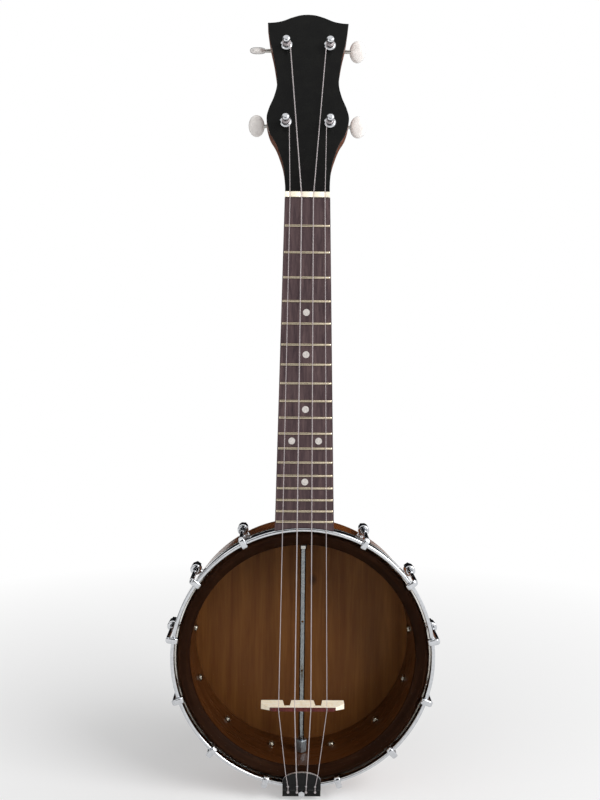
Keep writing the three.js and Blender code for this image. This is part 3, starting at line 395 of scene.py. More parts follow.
def node(tree, kind, inputs=(), **settings):
    """Adds a node. inputs maps a socket's name or number to a value, a node or a node's output."""
    made = tree.nodes.new("ShaderNode" + kind)
    for key, value in settings.items():
        setattr(made, key, value)
    for key, value in dict(inputs).items():
        if isinstance(value, bpy.types.Node):
            value = value.outputs[0]
        if isinstance(value, bpy.types.NodeSocket):
            tree.links.new(value, made.inputs[key])
        else:
            made.inputs[key].default_value = value
    return made


def material(name, surface):
    """A material whose surface function gets the tree and returns the shader."""
    made = bpy.data.materials.new(name)
    made.use_nodes = True
    made.node_tree.nodes.clear()
    node(made.node_tree, "OutputMaterial", {"Surface": surface(made.node_tree)})
    return made


def wood(
    name, dark, mid, light, grain, pores, shine,
    coat=0.0, bump=0.05, knots=None, bent_wood=False, specular=0.22,
):
    """Timber with its grain along z, or round the pot: bands of growth, fine pores, and lacquer.
    grain and pores are the widths of a band and of a pore in millimetres."""

    def surface(tree):
        band = 1 / (grain * MM)
        fine = 1 / (pores * MM)
        spot = place = node(tree, "TexCoord").outputs["Object"]
        if bent_wood:
            inward = node(tree, "VectorMath", {0: POT @ Vector(), 1: place}, operation="SUBTRACT")
            parts = node(tree, "SeparateXYZ", {0: inward}).outputs
            flat = node(tree, "VectorMath", {0: inward, 1: (1, 0, 1)}, operation="MULTIPLY")
            radius = node(tree, "VectorMath", {0: flat}, operation="LENGTH").outputs["Value"]
            turn = node(tree, "Math", {0: parts[0], 1: parts[2]}, operation="ARCTAN2")
            arc = node(tree, "Math", {0: turn, 1: RIM_INNER * MM}, operation="MULTIPLY")
            place = node(tree, "CombineXYZ", {0: radius, 1: parts[1], 2: arc})
        bands = node(tree, "TexNoise", {
            "Vector": node(tree, "Mapping", {"Vector": place, "Scale": (band, band, band / 14)}),
            "Scale": 1, "Detail": 4, "Roughness": 0.55, "Distortion": 0.6,
        })
        flecks = node(tree, "TexNoise", {
            "Vector": node(tree, "Mapping", {"Vector": place, "Scale": (fine, fine, fine / 22)}),
            "Scale": 1, "Detail": 2, "Roughness": 0.6,
        })
        both = node(tree, "Mix", {0: 0.3, 2: bands, 3: flecks})
        tone = colour(dark)
        for code, low, high in ((mid, 0.32, 0.5), (light, 0.5, 0.68)):
            share = node(tree, "MapRange", {"Value": both, "From Min": low, "From Max": high})
            tone = node(
                tree, "Mix", {0: share, 6: tone, 7: colour(code)}, data_type="RGBA",
            ).outputs[2]
        if knots:
            code, many = knots
            around = node(tree, "Mapping", {"Vector": spot, "Scale": (many, many, many * 0.7)})
            cells = node(tree, "TexVoronoi", {"Vector": around, "Scale": 1, "Randomness": 1})
            share = node(tree, "MapRange", {"Value": cells, "From Min": 0.03, "From Max": 0.11})
            tone = node(
                tree, "Mix", {0: share, 6: colour(code), 7: tone}, data_type="RGBA",
            ).outputs[2]
        rough = node(tree, "MapRange", {
            "Value": flecks, "From Min": 0.3, "From Max": 0.7,
            "To Min": shine + 0.07, "To Max": shine - 0.05,
        })
        relief = node(tree, "Bump", {"Height": flecks, "Strength": bump, "Distance": 0.0002})
        return node(tree, "BsdfPrincipled", {
            "Base Color": tone, "Roughness": rough, "Normal": relief,
            "Coat Weight": coat, "Coat Roughness": 0.12, "Specular IOR Level": specular,
        })

    return material(name, surface)


def clouded(name, base, tint, rough, spread_mm, noise, polish, bump=0.0, **more):
    """A hard surface whose tone and polish change in faint clouds, spread_mm across. noise is
    their detail and roughness. polish is their range, and what rough gains at its two ends."""

    def surface(tree):
        clouds = node(tree, "TexNoise", {
            "Vector": node(tree, "TexCoord").outputs["Object"], "Scale": 1 / (spread_mm * MM),
            "Detail": noise[0], "Roughness": noise[1],
        })
        share = node(tree, "MapRange", {"Value": clouds, "From Min": 0.35, "From Max": 0.65})
        tone = node(tree, "Mix", {0: share, 6: colour(tint), 7: colour(base)}, data_type="RGBA")
        low, high, least, most = polish
        inputs = {
            "Base Color": tone.outputs[2],
            "Roughness": node(tree, "MapRange", {
                "Value": clouds, "From Min": low, "From Max": high,
                "To Min": max(rough + least, 0.02), "To Max": rough + most,
            }),
        }
        if bump:
            inputs["Normal"] = node(tree, "Bump", {
                "Height": clouds, "Strength": bump, "Distance": 0.0001,
            })
        return node(tree, "BsdfPrincipled", inputs | more)

    return material(name, surface)


def metal(name, base, tint, rough, wear_mm=2.2):
    """Plated metal: an even mirror, with faint cloudy handling marks in its tone and polish."""
    return clouded(name, base, tint, rough, wear_mm, (5, 0.65), (0.3, 0.75, 0, 0.07), Metallic=1.0)


def gloss(name, base, tint, rough, spread_mm, coat=0.0, specular=0.5, bump=0.0):
    """A smooth hard surface with a faint change of tone and polish over spread_mm."""
    return clouded(
        name, base, tint, rough, spread_mm, (4, 0.6), (0.3, 0.7, -0.04, 0.06), bump,
        **{"Coat Weight": coat, "Coat Roughness": 0.06, "Specular IOR Level": specular},
    )


# Satin lacquered mahogany of the neck: red brown, long bands, open pores that break the sheen
neck_mahogany = wood("satin_mahogany", "#4e2918", "#70402a", "#8a5538", 5.5, 0.7, 0.34, coat=0.25)
# End grain of the headstock's top: it drinks the lacquer, so it stays darker and dull
end_grain = wood("dull_end_grain", "#3d2014", "#563222", "#6b412c", 5.5, 0.7, 0.6, specular=0.02)
# Glossy mahogany of the rim's outside: more orange, under a thick clear coat
rim_mahogany = wood(
    "glossy_rim_mahogany", "#6e3914", "#84491f", "#98592a", 6.5, 1.1, 0.22,
    coat=0.35, bump=0.01, bent_wood=True,
)
# The rim's inside: the same wood painted darker, as the shade inside the pot, without the thick
# coat
inner_wall_painted_shade = wood(
    "shaded_inner_wall_wood", "#3f200d", "#4d2a12", "#5a3417", 6.5, 1.1, 0.3,
    coat=0.15, bump=0.01, bent_wood=True,
)
# The rim's front edge, nearly black
dark_front_edge = wood(
    "near_black_rim_edge", "#20110a", "#29160d", "#352013", 5.0, 1.1, 0.36,
    bump=0.01, bent_wood=True, specular=0.04,
)
# Brown wood of the back, satin, with a few small dark knots
back_wood = wood(
    "satin_back_wood", "#643d20", "#744a27", "#84572f", 11.0, 1.2, 0.36,
    bump=0.02, knots=("#4a2f1d", 26), specular=0.14,
)
# Oiled rosewood of the board: dark purple brown, dry, with short open pores
rosewood = wood("oiled_rosewood", "#33262a", "#4a3a3c", "#5c4a4a", 2.6, 0.5, 0.52, bump=0.12)
# Bare maple of the bridge: pale, close grained, matt
maple = wood("bare_maple", "#f3dfba", "#fdf0d8", "#fff8ea", 3.0, 0.5, 0.5, bump=0.03)
# Dark red hardwood strip on the bridge, polished by the strings
red_hardwood = wood("red_hardwood", "#3a1212", "#55201f", "#68302c", 1.8, 0.5, 0.4)
# Black lacquer on the headstock's face: satin, with the faintest unevenness
black_lacquer = gloss(
    "satin_black_lacquer", "#131312", "#0f0f0f", 0.26, 9, specular=0.1, bump=0.02,
)
# Polished bone of the nut: cream, faintly clouded
bone = gloss("polished_bone", "#fdf6e4", "#f3e9d0", 0.3, 1.6, coat=0.2)
# Pearly plastic of the buttons: white with soft swirls under a clear gloss
pearl = gloss("pearl_plastic", "#f8f4f0", "#ebe6e2", 0.16, 4.5, coat=0.6)
# Pearly dots in the board, greyer and rubbed level with the wood
pearl_dot = gloss("rubbed_pearl_dot", "#d5d0cc", "#bcb6b2", 0.28, 1.1)
# Chromium plate: cold and mirror bright
chrome = metal("polished_chrome", "#d4d6d9", "#c2c4c8", 0.05)
# Nickel silver of the frets, warmer and a little duller
nickel_silver = metal("nickel_silver", "#d8cbb4", "#bdaf96", 0.2, 1.0)
# Nickel on the machines' frames and worms
nickel = metal("nickel_plate", "#c9c7c2", "#aeaba5", 0.16, 1.4)
# Brass of the toothed wheels, a little tarnished
brass = metal("tarnished_brass", "#b99a5c", "#8f7442", 0.26, 1.2)
# Drawn steel of the rod: bluish, with a soft polish
drawn_steel = metal("drawn_steel", "#a2a8b0", "#8a919b", 0.1, 1.6)
# Zinc plate of the ferrule: duller still, and bluer
zinc = metal("zinc_plate", "#a9b3c0", "#919ba8", 0.38, 1.2)
# Near-black steel of the nut that clamps the rod at the neck
dark_nut_steel = metal("near_black_steel", "#2b2b2d", "#1d1d1f", 0.35, 1.2)
# A painted highlight: a pale metal strip along the tailpiece's front edge stands in for the bright
# reflection on its rounded arch
painted_highlight_edge = metal("painted_highlight_edge", "#f0f0f2", "#dcdcdf", 0.42, 1.5)
# Black plated sheet of the tailpiece: mirror gloss over black
black_plate = gloss("black_plated_sheet", "#09090a", "#060606", 0.08, 6, specular=0.2)


def nylon_surface(tree):
    """Clear nylon, drawn smooth: more than half of what lies behind passes, the rest is pale."""
    cloud = node(tree, "TexNoise", {
        "Vector": node(tree, "TexCoord").outputs["Object"], "Scale": 1 / (6 * MM), "Detail": 2,
    })
    polish = node(tree, "MapRange", {"Value": cloud, "To Min": 0.14, "To Max": 0.24})
    share = node(tree, "MapRange", {"Value": cloud, "To Min": 0.36, "To Max": 0.46})
    drawn = node(tree, "BsdfPrincipled", {"Base Color": colour("#d8d0d2"), "Roughness": polish})
    clear = node(tree, "BsdfTransparent", {"Color": colour("#f4f0ee")})
    return node(tree, "MixShader", {0: share, 1: clear, 2: drawn})


def film_surface(tree):
    """Clear polyester: all passes where it is looked at squarely, and it mirrors at a slant."""
    haze = node(tree, "TexNoise", {
        "Vector": node(tree, "TexCoord").outputs["Object"], "Scale": 40, "Detail": 3,
    })
    polish = node(tree, "MapRange", {"Value": haze, "To Min": 0.02, "To Max": 0.05})
    mirror = node(tree, "BsdfGlossy", {"Color": colour("#f2f2f0"), "Roughness": polish})
    clear = node(tree, "BsdfTransparent", {"Color": colour("#f8f7f4")})
    slant = node(tree, "LayerWeight", {"Blend": 0.5}).outputs["Facing"]
    steep = node(tree, "Math", {0: slant, 1: 4}, operation="POWER")
    share = node(tree, "Math", {0: steep, 1: 0.6}, operation="MULTIPLY")
    return node(tree, "MixShader", {0: share, 1: clear, 2: mirror})


# The strings
nylon = material("clear_nylon", nylon_surface)
# The drum head
clear_film = material("clear_polyester_film", film_surface)


# ---- The pot ----
def rim_finish(c):
    """The black front edge, the inside painted darker as shade, and the orange outside of the rim.
    """
    if c.y < 4.6:
        return dark_front_edge
    return inner_wall_painted_shade if math.hypot(c.x, c.z) < RIM_INNER + 1 else rim_mahogany


for name, corners, ring, finish, node_name, slot in (
    ("rim_wood", [
        (RIM_INNER, RIM_DEPTH, 0.4), (RIM_INNER, 4, 1.2), (94.8, GAP, 0.8),
        (96, GAP, 0.8), (RIM_OUTER, 2.3, 0.8), (RIM_OUTER, RIM_DEPTH, 0.4),
    ], True, rim_finish, "rim", "rim_wood"),
    ("back_disc", [
        (0, BACK_FRONT), (RIM_OUTER, BACK_FRONT, 0.3), (RIM_OUTER, BACK_FACE, 1.4), (0, BACK_FACE),
    ], False, back_wood, "back_plate", "back_wood"),
    ("clear_head", [
        (0, -FILM), (FILM_OUTER, -FILM, 2.6), (FILM_OUTER, 9.8),
        (FILM_INNER, 9.8), (FILM_INNER, 0, 2.15), (0, 0),
    ], False, clear_film, "drum_head", "clear_film"),
    ("chrome_hoop", [
        (HOOP_INNER, HOOP_FOOT, 0.3), (HOOP_INNER, HOOP_TOP, 1.1),
        (HOOP_OUTER, HOOP_TOP, 1.1), (HOOP_OUTER, HOOP_FOOT, 0.3),
    ], True, chrome, "tension_hoop", "chrome"),
    ("flesh_ring", [
        (HOOP_INNER, HOOP_FOOT, 0.6), (HOOP_OUTER, HOOP_FOOT, 0.6),
        (HOOP_OUTER, FLESH_FOOT, 0.9), (HOOP_INNER, FLESH_FOOT, 0.9),
    ], True, nickel, "flesh_hoop", "chrome"),
):
    form = turned(rounded(corners, ring), POT_FACETS, ring)
    piece(name, [(form, POT, finish)], stands_for=[node_name], slot=slot)

# Hooks: a round rod, threaded at its end, that flattens into a claw over the hoop
hook_rod = [(HOOK_END, 1.2), (HOOK_END - 0.3, 1.5)]
for k in range(1, 6):
    crest = HOOK_END - HOOK_THREAD * k
    hook_rod += [(crest, HOOK_ROD), (crest - HOOK_THREAD / 2, HOOK_ROD - 0.25)]
hook_rod += [(39, HOOK_ROD), (-0.9, HOOK_ROD)]
hook_stations = [(HOOK_RADIUS, depth, 0, half, half, 2) for depth, half in hook_rod]
for k in range(9):
    share = k / 8
    facing = math.radians(-90 * share)
    flat = min(1, 0.35 + 1.3 * share)
    hook_stations.append((
        HOOK_RADIUS - CLAW_BEND + CLAW_BEND * math.cos(facing),
        CLAW_DEPTH + CLAW_BEND * math.sin(facing), -90 * share,
        HOOK_ROD + 0.6 * flat, HOOK_ROD - 0.6 * flat, 2 + 1.8 * flat,
    ))
for k in range(9):
    degrees = -90 - 90 * k / 8
    facing = math.radians(degrees)
    hook_stations.append((
        CLAW_TIP + CLAW_BEND + CLAW_BEND * math.cos(facing),
        CLAW_DEPTH + CLAW_BEND * math.sin(facing), degrees, 2.3, 1.1, 3.8,
    ))
hook_stations += [
    (CLAW_TIP, -1.5, -180, 2.25, 1.05, 3.6), (CLAW_TIP, -1.1, -180, 2.0, 0.85, 3),
    (CLAW_TIP, -0.9, -180, 1.5, 0.5, 2.4),
]

# Shoes: a barrel with worn ends round the hook, on a foot that stands on the rim
shoe_front, shoe_back = SHOE_DEPTH - SHOE_HALF, SHOE_DEPTH + SHOE_HALF
hook_nut = hexagon(6.4, shoe_back + GAP, shoe_back + GAP + 5)
barrel = turned(rounded([
    (2.0, shoe_front, 0.2), (4.4, shoe_front, 2.1), (4.4, shoe_back, 2.1), (2.0, shoe_back, 0.2),
], ring=True, steps=8), 40, ring=True)
foot_face = RIM_OUTER + GAP
foot = turned(rounded([
    (0, foot_face), (3.0, foot_face, 0.3), (3.0, foot_face + 0.8, 0.3),
    (2.6, foot_face + 1.2, 0.3), (2.6, 102.2), (0, 102.2),
]), 32)
bolt = turned(rounded([
    (0, 84.9), (1.7, 84.95, 0.5), (2.6, 85.7, 0.6), (2.7, 86.5), (3.3, 86.5, 0.15),
    (3.3, 87.1, 0.15), (1.9, 87.1), (1.9, foot_face), (0, foot_face),
]), 32)
slot_cut = box((-3, SHOE_DEPTH - SHOE_SLOT_HALF, 84), (3, SHOE_DEPTH + SHOE_SLOT_HALF, 85.5))
for side in (-1, 1):
    for k in range(1, HOOKS_A_SIDE + 1):
        number = k if side < 0 else k + HOOKS_A_SIDE
        turn = POT @ Matrix.Rotation(math.radians(side * HOOK_SPACING * k), 4, "Y")
        at_hook = turn @ MOVE((0, 0, HOOK_RADIUS))
        across_rim = turn @ MOVE((0, SHOE_DEPTH, 0)) @ ALONG_Z
        hook = [(bent(hook_stations), turn, chrome), (hook_nut, at_hook, chrome)]
        shoe = [(barrel, at_hook, chrome), (foot, across_rim, chrome)]
        piece(f"hook_claw_{number}", hook, stands_for=[f"hook_{number}"], slot="chrome")
        piece(f"shoe_barrel_{number}", shoe, stands_for=[f"shoe_{number}"], slot="chrome")
        piece(
            f"shoe_bolt_{number}",
            [(bolt, across_rim, nickel)],
            slot="chrome",
            works=[("DIFFERENCE", slot_cut, turn)],
        )

# The rod through the pot, drilled across twice
rod_path = rounded([
    (0, -81.5), (ROD_STUD, -81.5), (ROD_STUD, -77.2), (2.4, -77.2, 0.2), (2.4, 79),
    (3.3, 79, 0.35), (3.3, 81.8, 0.35), (ROD_STUD, 81.8), (ROD_STUD, 106.7), (0, 106.7),
])
through_pot = POT @ MOVE((0, ROD_DEPTH, 0)) @ Matrix.Rotation(math.pi / 2, 4, "X")
piece(
    "pot_rod",
    [(turned(rod_path, 48), through_pot, lambda c: chrome if c.y > 78.9 else drawn_steel)],
    stands_for=["coordinator_rod"],
    slot="chrome",
    works=[
        ("DIFFERENCE", bar(ROD_HOLE, -5, 5), POT @ MOVE((0, ROD_DEPTH, height)))
        for height in (-ROD_HOLE_SPREAD, ROD_HOLE_SPREAD)
    ],
)
for name, form, finish, node_name, low, high in (
    ("rod_clamp_nut", hexagon(8, 82.1, 87.1), dark_nut_steel, "rod_neck_nut", 80, 89),
    ("rod_ferrule", hexagon(8.2, -87.1, -77.5, 0.7), zinc, "rod_tail_ferrule", -89, -75),
):
    piece(
        name,
        [(form, through_pot, finish)],
        stands_for=[node_name],
        slot="chrome",
        works=[("DIFFERENCE", bar(ROD_STUD_BORE, low, high, 32), through_pot)],
    )

# ---- The tailpiece: one bent black sheet with an arched front, and its bolt ----
def string_places(spacing):
    """The four strings' places across the instrument, where they lie spacing apart."""
    return [spacing * (i - 1.5) for i in range(4)]


TAIL_FRONT = TAIL_LEG - TAIL_REACH
tail_line = rounded([
    (TAIL_EDGE, TAIL_FRONT), (TAIL_TOP, 98, 3), (TAIL_TOP, 104, 2), (-0.8, 104, 0.4), (-0.8, 109.9),
], steps=6)
sheet_top = []
for column in range(33):
    angle = math.pi * column / 32
    front = TAIL_FRONT + TAIL_ARCH * (1 - math.sin(angle))
    edge = TAIL_EDGE + (TAIL_TOP - TAIL_EDGE) * (front - TAIL_FRONT) / 10
    sheet_top.append([
        (TAIL_HALF_WIDTH * math.cos(angle), *((edge, front) if radius < front else (y, radius)))
        for y, radius in tail_line
    ])


def sheet_of(rows, thick):
    """A bent sheet from rows of x, depth and radius, thickened inwards from the top face."""
    rings = []
    for row in rows:
        upper, lower = [], []
        for i, (x, y, radius) in enumerate(row):
            before, after = row[max(i - 1, 0)], row[min(i + 1, len(row) - 1)]
            along = Vector((after[1] - before[1], after[2] - before[2]))
            if along.length < 1e-6:
                along = Vector((0, 1))
            along.normalize()
            upper.append((x, y, -radius))
            lower.append((x, y + along.y * thick, -(radius - along.x * thick)))
        rings.append(upper + lower[::-1])
    return lofted(rings)


def tail_finish(c):
    """Black all over, but for a painted highlight: a pale strip along the arch's front edge that
    stands in for its reflection.
    """
    arch = TAIL_ARCH * (1 - math.sqrt(max(0, 1 - (c.x / TAIL_HALF_WIDTH) ** 2)))
    on_painted_highlight = -c.z < TAIL_FRONT + arch + 0.25 and c.y < TAIL_TOP + 1.2
    return painted_highlight_edge if on_painted_highlight else black_plate


piece(
    "tail_plate",
    [(sheet_of(sheet_top, TAIL_SHEET), POT, tail_finish)],
    stands_for=["tailpiece"],
    slot="black_metal",
    worn=0.28,
    works=[
        (
            "DIFFERENCE",
            box((x - TAIL_SLOT_HALF, -7, -104.3), (x + TAIL_SLOT_HALF, -2.75, -99.7)),
            POT,
        )
        for x in string_places(AT_SLOTS)
    ],
)
bolt_path = rounded([(0, -2.6), (1.5, -2.6, 0.4), (1.5, 30), (0, 30)])
shoe_path = rounded([
    (0, 25), (2.4, 25, 0.4), (3.2, 26.4, 1), (3.2, 33.6, 1), (2.4, 35, 0.4), (0, 35),
])
foot_path = rounded([
    (0, 81.8), (1.9, 81.8), (1.9, 98.3), (3, 98.3, 0.3), (3, 99.2, 0.3), (2.5, 99.6),
    (2.5, 105), (0, 105),
])
at_tail = POT @ MOVE((0, 0, -HANGER_RADIUS))
to_tail = POT @ MOVE((0, ROD_DEPTH, 0)) @ Matrix.Rotation(-math.pi / 2, 4, "X")
piece(
    "tail_bolt",
    [
        (turned(bolt_path, 24), at_tail, chrome),
        (hexagon(4.6, -3.9, -1.1, 0.3), at_tail, chrome),
        (turned(shoe_path, 32), at_tail, chrome),
        (turned(foot_path, 32), to_tail, chrome),
    ],
    stands_for=["tailpiece_hanger"],
    slot="chrome",
)


# ---- The bridge and its strip ----
def notched(spacing, top):
    """The line of an upper edge with a notch for each string."""
    return [
        (x + out, top - deep)
        for x in string_places(spacing)
        for out, deep in ((-NOTCH_HALF, 0), (0, NOTCH_DEPTH), (NOTCH_HALF, 0))
    ]


body_top = BRIDGE_HEIGHT - CAP_HEIGHT
half_bridge = [
    (8.6, 0), (9.8, 10.6), (14.0, 10.6), (15.2, 0), (31.9, 0), (31.9, 7), (CAP_REACH, body_top),
]
bridge_outline = half_bridge + [(-x, up) for x, up in reversed(half_bridge)]
bridge_front = BRIDGE_HALF_TOP - BRIDGE_BELOW
square_face = [(x, -FILM - up, bridge_front) for x, up in bridge_outline]
sloped_face = [
    (x, -FILM - up, bridge_front - 6 + 3.6 * up / body_top) for x, up in bridge_outline
]
piece(
    "maple_bridge",
    [(lofted([square_face, sloped_face]), POT, maple)],
    stands_for=["bridge"],
    slot="maple",
    worn=0.3,
)
cap_outline = [
    (-CAP_REACH, body_top), (CAP_HEIGHT - CAP_REACH, BRIDGE_HEIGHT),
    *notched(AT_BRIDGE, BRIDGE_HEIGHT),
    (CAP_REACH - CAP_HEIGHT, BRIDGE_HEIGHT), (CAP_REACH, body_top),
]
cap_faces = [
    [(x, -FILM - up, along - BRIDGE_BELOW) for x, up in cap_outline]
    for along in (BRIDGE_HALF_TOP, -BRIDGE_HALF_TOP)
]
piece(
    "bridge_strip",
    [(lofted(cap_faces), POT, red_hardwood)],
    stands_for=["bridge_cap"],
    slot="redwood",
    worn=0.15,
)


# ---- The neck ----
def board_half(below):
    """Half the board's width, this far below the nut."""
    return (NUT_WIDTH + (BODY_END_WIDTH - NUT_WIDTH) * below / (NUT_TO_POT - HOOP_OUTER)) / 2


def neck_section(height, half_width, top, depth):
    """The neck's half round section behind its flat front."""
    return [
        (half_width * math.cos(a), top + depth * math.sin(a), height)
        for a in (math.pi * j / 40 for j in range(41))
    ]


board_seat = BOARD_THICK + GAP
sunk_top = HEAD_DROP + HEAD_BACK + 20 * math.tan(HEAD_LEAN) - NECK_DEPTH
neck_rings = [neck_section(20, NUT_WIDTH / 2, sunk_top, NECK_DEPTH - 1)]
for i in range(9):
    below = SHAFT_LENGTH * i / 8
    depth = NECK_DEPTH + (NECK_DEPTH_AT_HEEL - NECK_DEPTH) * i / 8
    neck_rings.append(neck_section(-below, board_half(below), board_seat, depth))
for i in range(1, 25):
    share = i / 24
    below = SHAFT_LENGTH + (HEEL_LENGTH + 5) * share
    depth = NECK_DEPTH_AT_HEEL + (HEEL_DEPTH - NECK_DEPTH_AT_HEEL) * share**2
    neck_rings.append(neck_section(-below, board_half(below), board_seat, depth))
shaft = lofted(neck_rings)

# The headstock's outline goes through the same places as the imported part's. They are shares of
# its half width and of its length.
side_shares = [
    (0.54, 0.062), (0.581, 0.143), (0.67, 0.21), (0.77, 0.266), (0.92, 0.325), (1.0, 0.4),
    (0.945, 0.46), (0.82, 0.53), (0.755, 0.61), (0.826, 0.735), (0.933, 0.845), (1, 0.949),
]
top_shares = [(1, 0.949), (0.82, 0.952), (0.63, 0.961), (0.41, 0.981), (0.19, 0.996), (0, 1)]


def curve_through(places, steps):
    """A smooth line through the places, with as many steps between each two."""
    line = []
    for i in range(len(places) - 1):
        a, b = Vector(places[i]), Vector(places[i + 1])
        before = Vector(places[i - 1]) if i else a
        after = Vector(places[i + 2]) if i + 2 < len(places) else b
        for k in range(steps):
            t = k / steps
            v0, v1 = (b - before) / 2, (after - a) / 2
            line.append(
                (2 * t**3 - 3 * t**2 + 1) * a + (t**3 - 2 * t**2 + t) * v0
                + (3 * t**2 - 2 * t**3) * b + (t**3 - t**2) * v1
            )
    line.append(Vector(places[-1]))
    return line


side_places, top_places = (
    [(w * HEAD_HALF_WIDTH, h * HEAD_LENGTH) for w, h in shares]
    for shares in (side_shares, top_shares)
)
right_line = curve_through([(NUT_WIDTH / 2, 0)] + side_places, 6) + curve_through(top_places, 3)[1:]
head_outline = [tuple(p) for p in right_line] + [(-p.x, p.y) for p in reversed(right_line[:-1])]


def board_of(outline, front, back, worn_front=0.0, worn_back=0.0):
    """A flat board from front to back along y. Its outline of (x, z) runs anticlockwise, and is
    pulled in over the edges' worn radii."""
    turns = [(math.sin(a), math.cos(a)) for a in (math.pi / 8 * k for k in range(5))]
    levels = [(front, 0)]
    if worn_front:
        levels = [(front + worn_front * (1 - c), worn_front * (1 - s)) for s, c in turns]
    if worn_back:
        levels += [(back - worn_back * (1 - s), worn_back * (1 - c)) for s, c in turns]
    else:
        levels.append((back, 0))
    inward = []
    for i in range(len(outline)):
        after, before = outline[(i + 1) % len(outline)], outline[i - 1]
        along = Vector((after[0] - before[0], after[1] - before[1])).normalized()
        inward.append((-along.y, along.x))
    return lofted([
        [(x + a * inset, y, z + b * inset) for (x, z), (a, b) in zip(outline, inward)]
        for y, inset in levels
    ])


# What is carved off the headstock's foot, so that its edges run out into the round shaft
carve_rings = []
for i in range(-4, 9):
    share = i / 8
    bend = share * abs(share)
    height = 24 * share
    half_width = max(NUT_WIDTH, NUT_WIDTH + (48 - NUT_WIDTH) * bend) / 2
    section = neck_section(height, half_width, board_seat, NECK_DEPTH + (27 - NECK_DEPTH) * bend)
    around = [(-half_width, -75), (-75, -75), (-75, 75), (75, 75), (75, -75)]
    carve_rings.append(
        [(half_width, -75, height)] + section + [(x, y, height) for x, y in around]
    )
head_slab = board_of(head_outline, VENEER + GAP, HEAD_BACK, 0.1, 1.1)
bushing_drill = bar(4.3, -5, 25, 40)
post_places = {
    f"{level}_{side}": (-1 if side == "left" else 1, POST_HEIGHTS[level])
    for level in ("upper", "lower")
    for side in ("left", "right")
}
drills = [
    ("DIFFERENCE", bushing_drill, HEAD @ MOVE((side * POST_SPREAD, 0, height)))
    for side, height in post_places.values()
]


def neck_finish(c):
    """Satin lacquer, but for the end grain on the headstock's top end."""
    on_top = c.z > top_places[0][1] - 4 and abs(c.x) < HEAD_HALF_WIDTH - 0.45
    return end_grain if on_top and VENEER + 0.2 < c.y < HEAD_BACK - 0.02 else neck_mahogany


piece(
    "neck_wood",
    [(head_slab, HEAD, neck_finish)],
    stands_for=["neck"],
    slot="mahogany",
    works=drills + [
        ("DIFFERENCE", lofted(carve_rings), NECK),
        ("UNION", shaft, NECK),
        ("DIFFERENCE", box((-50, -20, NUT_LENGTH + GAP), (50, board_seat, -400)), NECK),
        ("DIFFERENCE", bar(RIM_OUTER + GAP, -60, 110, POT_FACETS), POT),
        ("DIFFERENCE", bar(HOOP_OUTER + GAP, -60, 11.1, POT_FACETS), POT),
        ("DIFFERENCE", bar(ROD_SOCKET, 0, 108), through_pot),
    ],
)
piece(
    "black_face",
    [(board_of(head_outline, 0, VENEER, 0.35), HEAD, black_lacquer)],
    stands_for=["headstock_veneer"],
    slot="black_veneer",
    works=drills,
)

# The board, its fret wires pressed in, and the dots let in level with the wood
board_end = NUT_TO_POT - HOOP_OUTER + 5
board_outline = [
    (NUT_WIDTH / 2, 0), (board_half(board_end), -board_end),
    (-board_half(board_end), -board_end), (-NUT_WIDTH / 2, 0),
]
piece(
    "rosewood_board",
    [(board_of(board_outline, 0, BOARD_THICK, 0.3, 0.1), NECK, rosewood)],
    stands_for=["fingerboard"],
    slot="rosewood",
    works=[("DIFFERENCE", bar(HOOP_OUTER + GAP, -60, 60, POT_FACETS), POT)],
)


def fret_place(n):
    """How far below the nut fret n lies."""
    return SCALE * (1 - 2 ** (-n / 12))


fret_forms = []
for n in range(1, FRETS + 1):
    half = board_half(fret_place(n)) - 0.3
    ends = [(-half, 0.35), (0.25 - half, 0.8), (0.8 - half, 1)]
    rings = []
    for x, share in ends + [(-x, share) for x, share in reversed(ends)]:
        crown = (FRET_HEIGHT - 0.12) * share
        ring = [(x, 0.4, FRET_WIDTH / 2), (x, 0.4, -FRET_WIDTH / 2)]
        for k in range(9):
            a = math.pi * k / 8
            ring.append((x, -0.12 - crown * math.sin(a), -FRET_WIDTH / 2 * math.cos(a)))
        rings.append(ring)
    fret_forms.append((lofted(rings), NECK @ MOVE((0, 0, -fret_place(n))), nickel_silver))
piece("fret_wires", fret_forms, slot="rosewood", sharp=50)
dot = turned(rounded([(0, -0.04), (DOT_RADIUS, -0.04, 0.05), (DOT_RADIUS, 0.8), (0, 0.8)]), 40)
dot_spots = [(0, n) for n in DOT_FRETS]
dot_spots += [(side * DOUBLE_DOT_SPREAD, DOUBLE_DOT_FRET) for side in (-1, 1)]
piece(
    "board_dots",
    [
        (dot, NECK @ MOVE((x, 0, -(fret_place(n - 1) + fret_place(n)) / 2)), pearl_dot)
        for x, n in dot_spots
    ],
    slot="rosewood",
)
nut_faces = []
for height, crown in ((GAP, NUT_CROWN), (NUT_LENGTH, NUT_CROWN - NUT_DROP)):
    half = NUT_WIDTH / 2
    outline = [(-half, -BOARD_THICK), (-half, crown), *notched(AT_NUT, crown)]
    outline += [(half, crown), (half, -BOARD_THICK)]
    nut_faces.append([(x, -up, height) for x, up in outline])
piece(
    "bone_nut",
    [(lofted(nut_faces), NECK, bone)],
    stands_for=["nut"],
    slot="bone",
    worn=0.22,
)

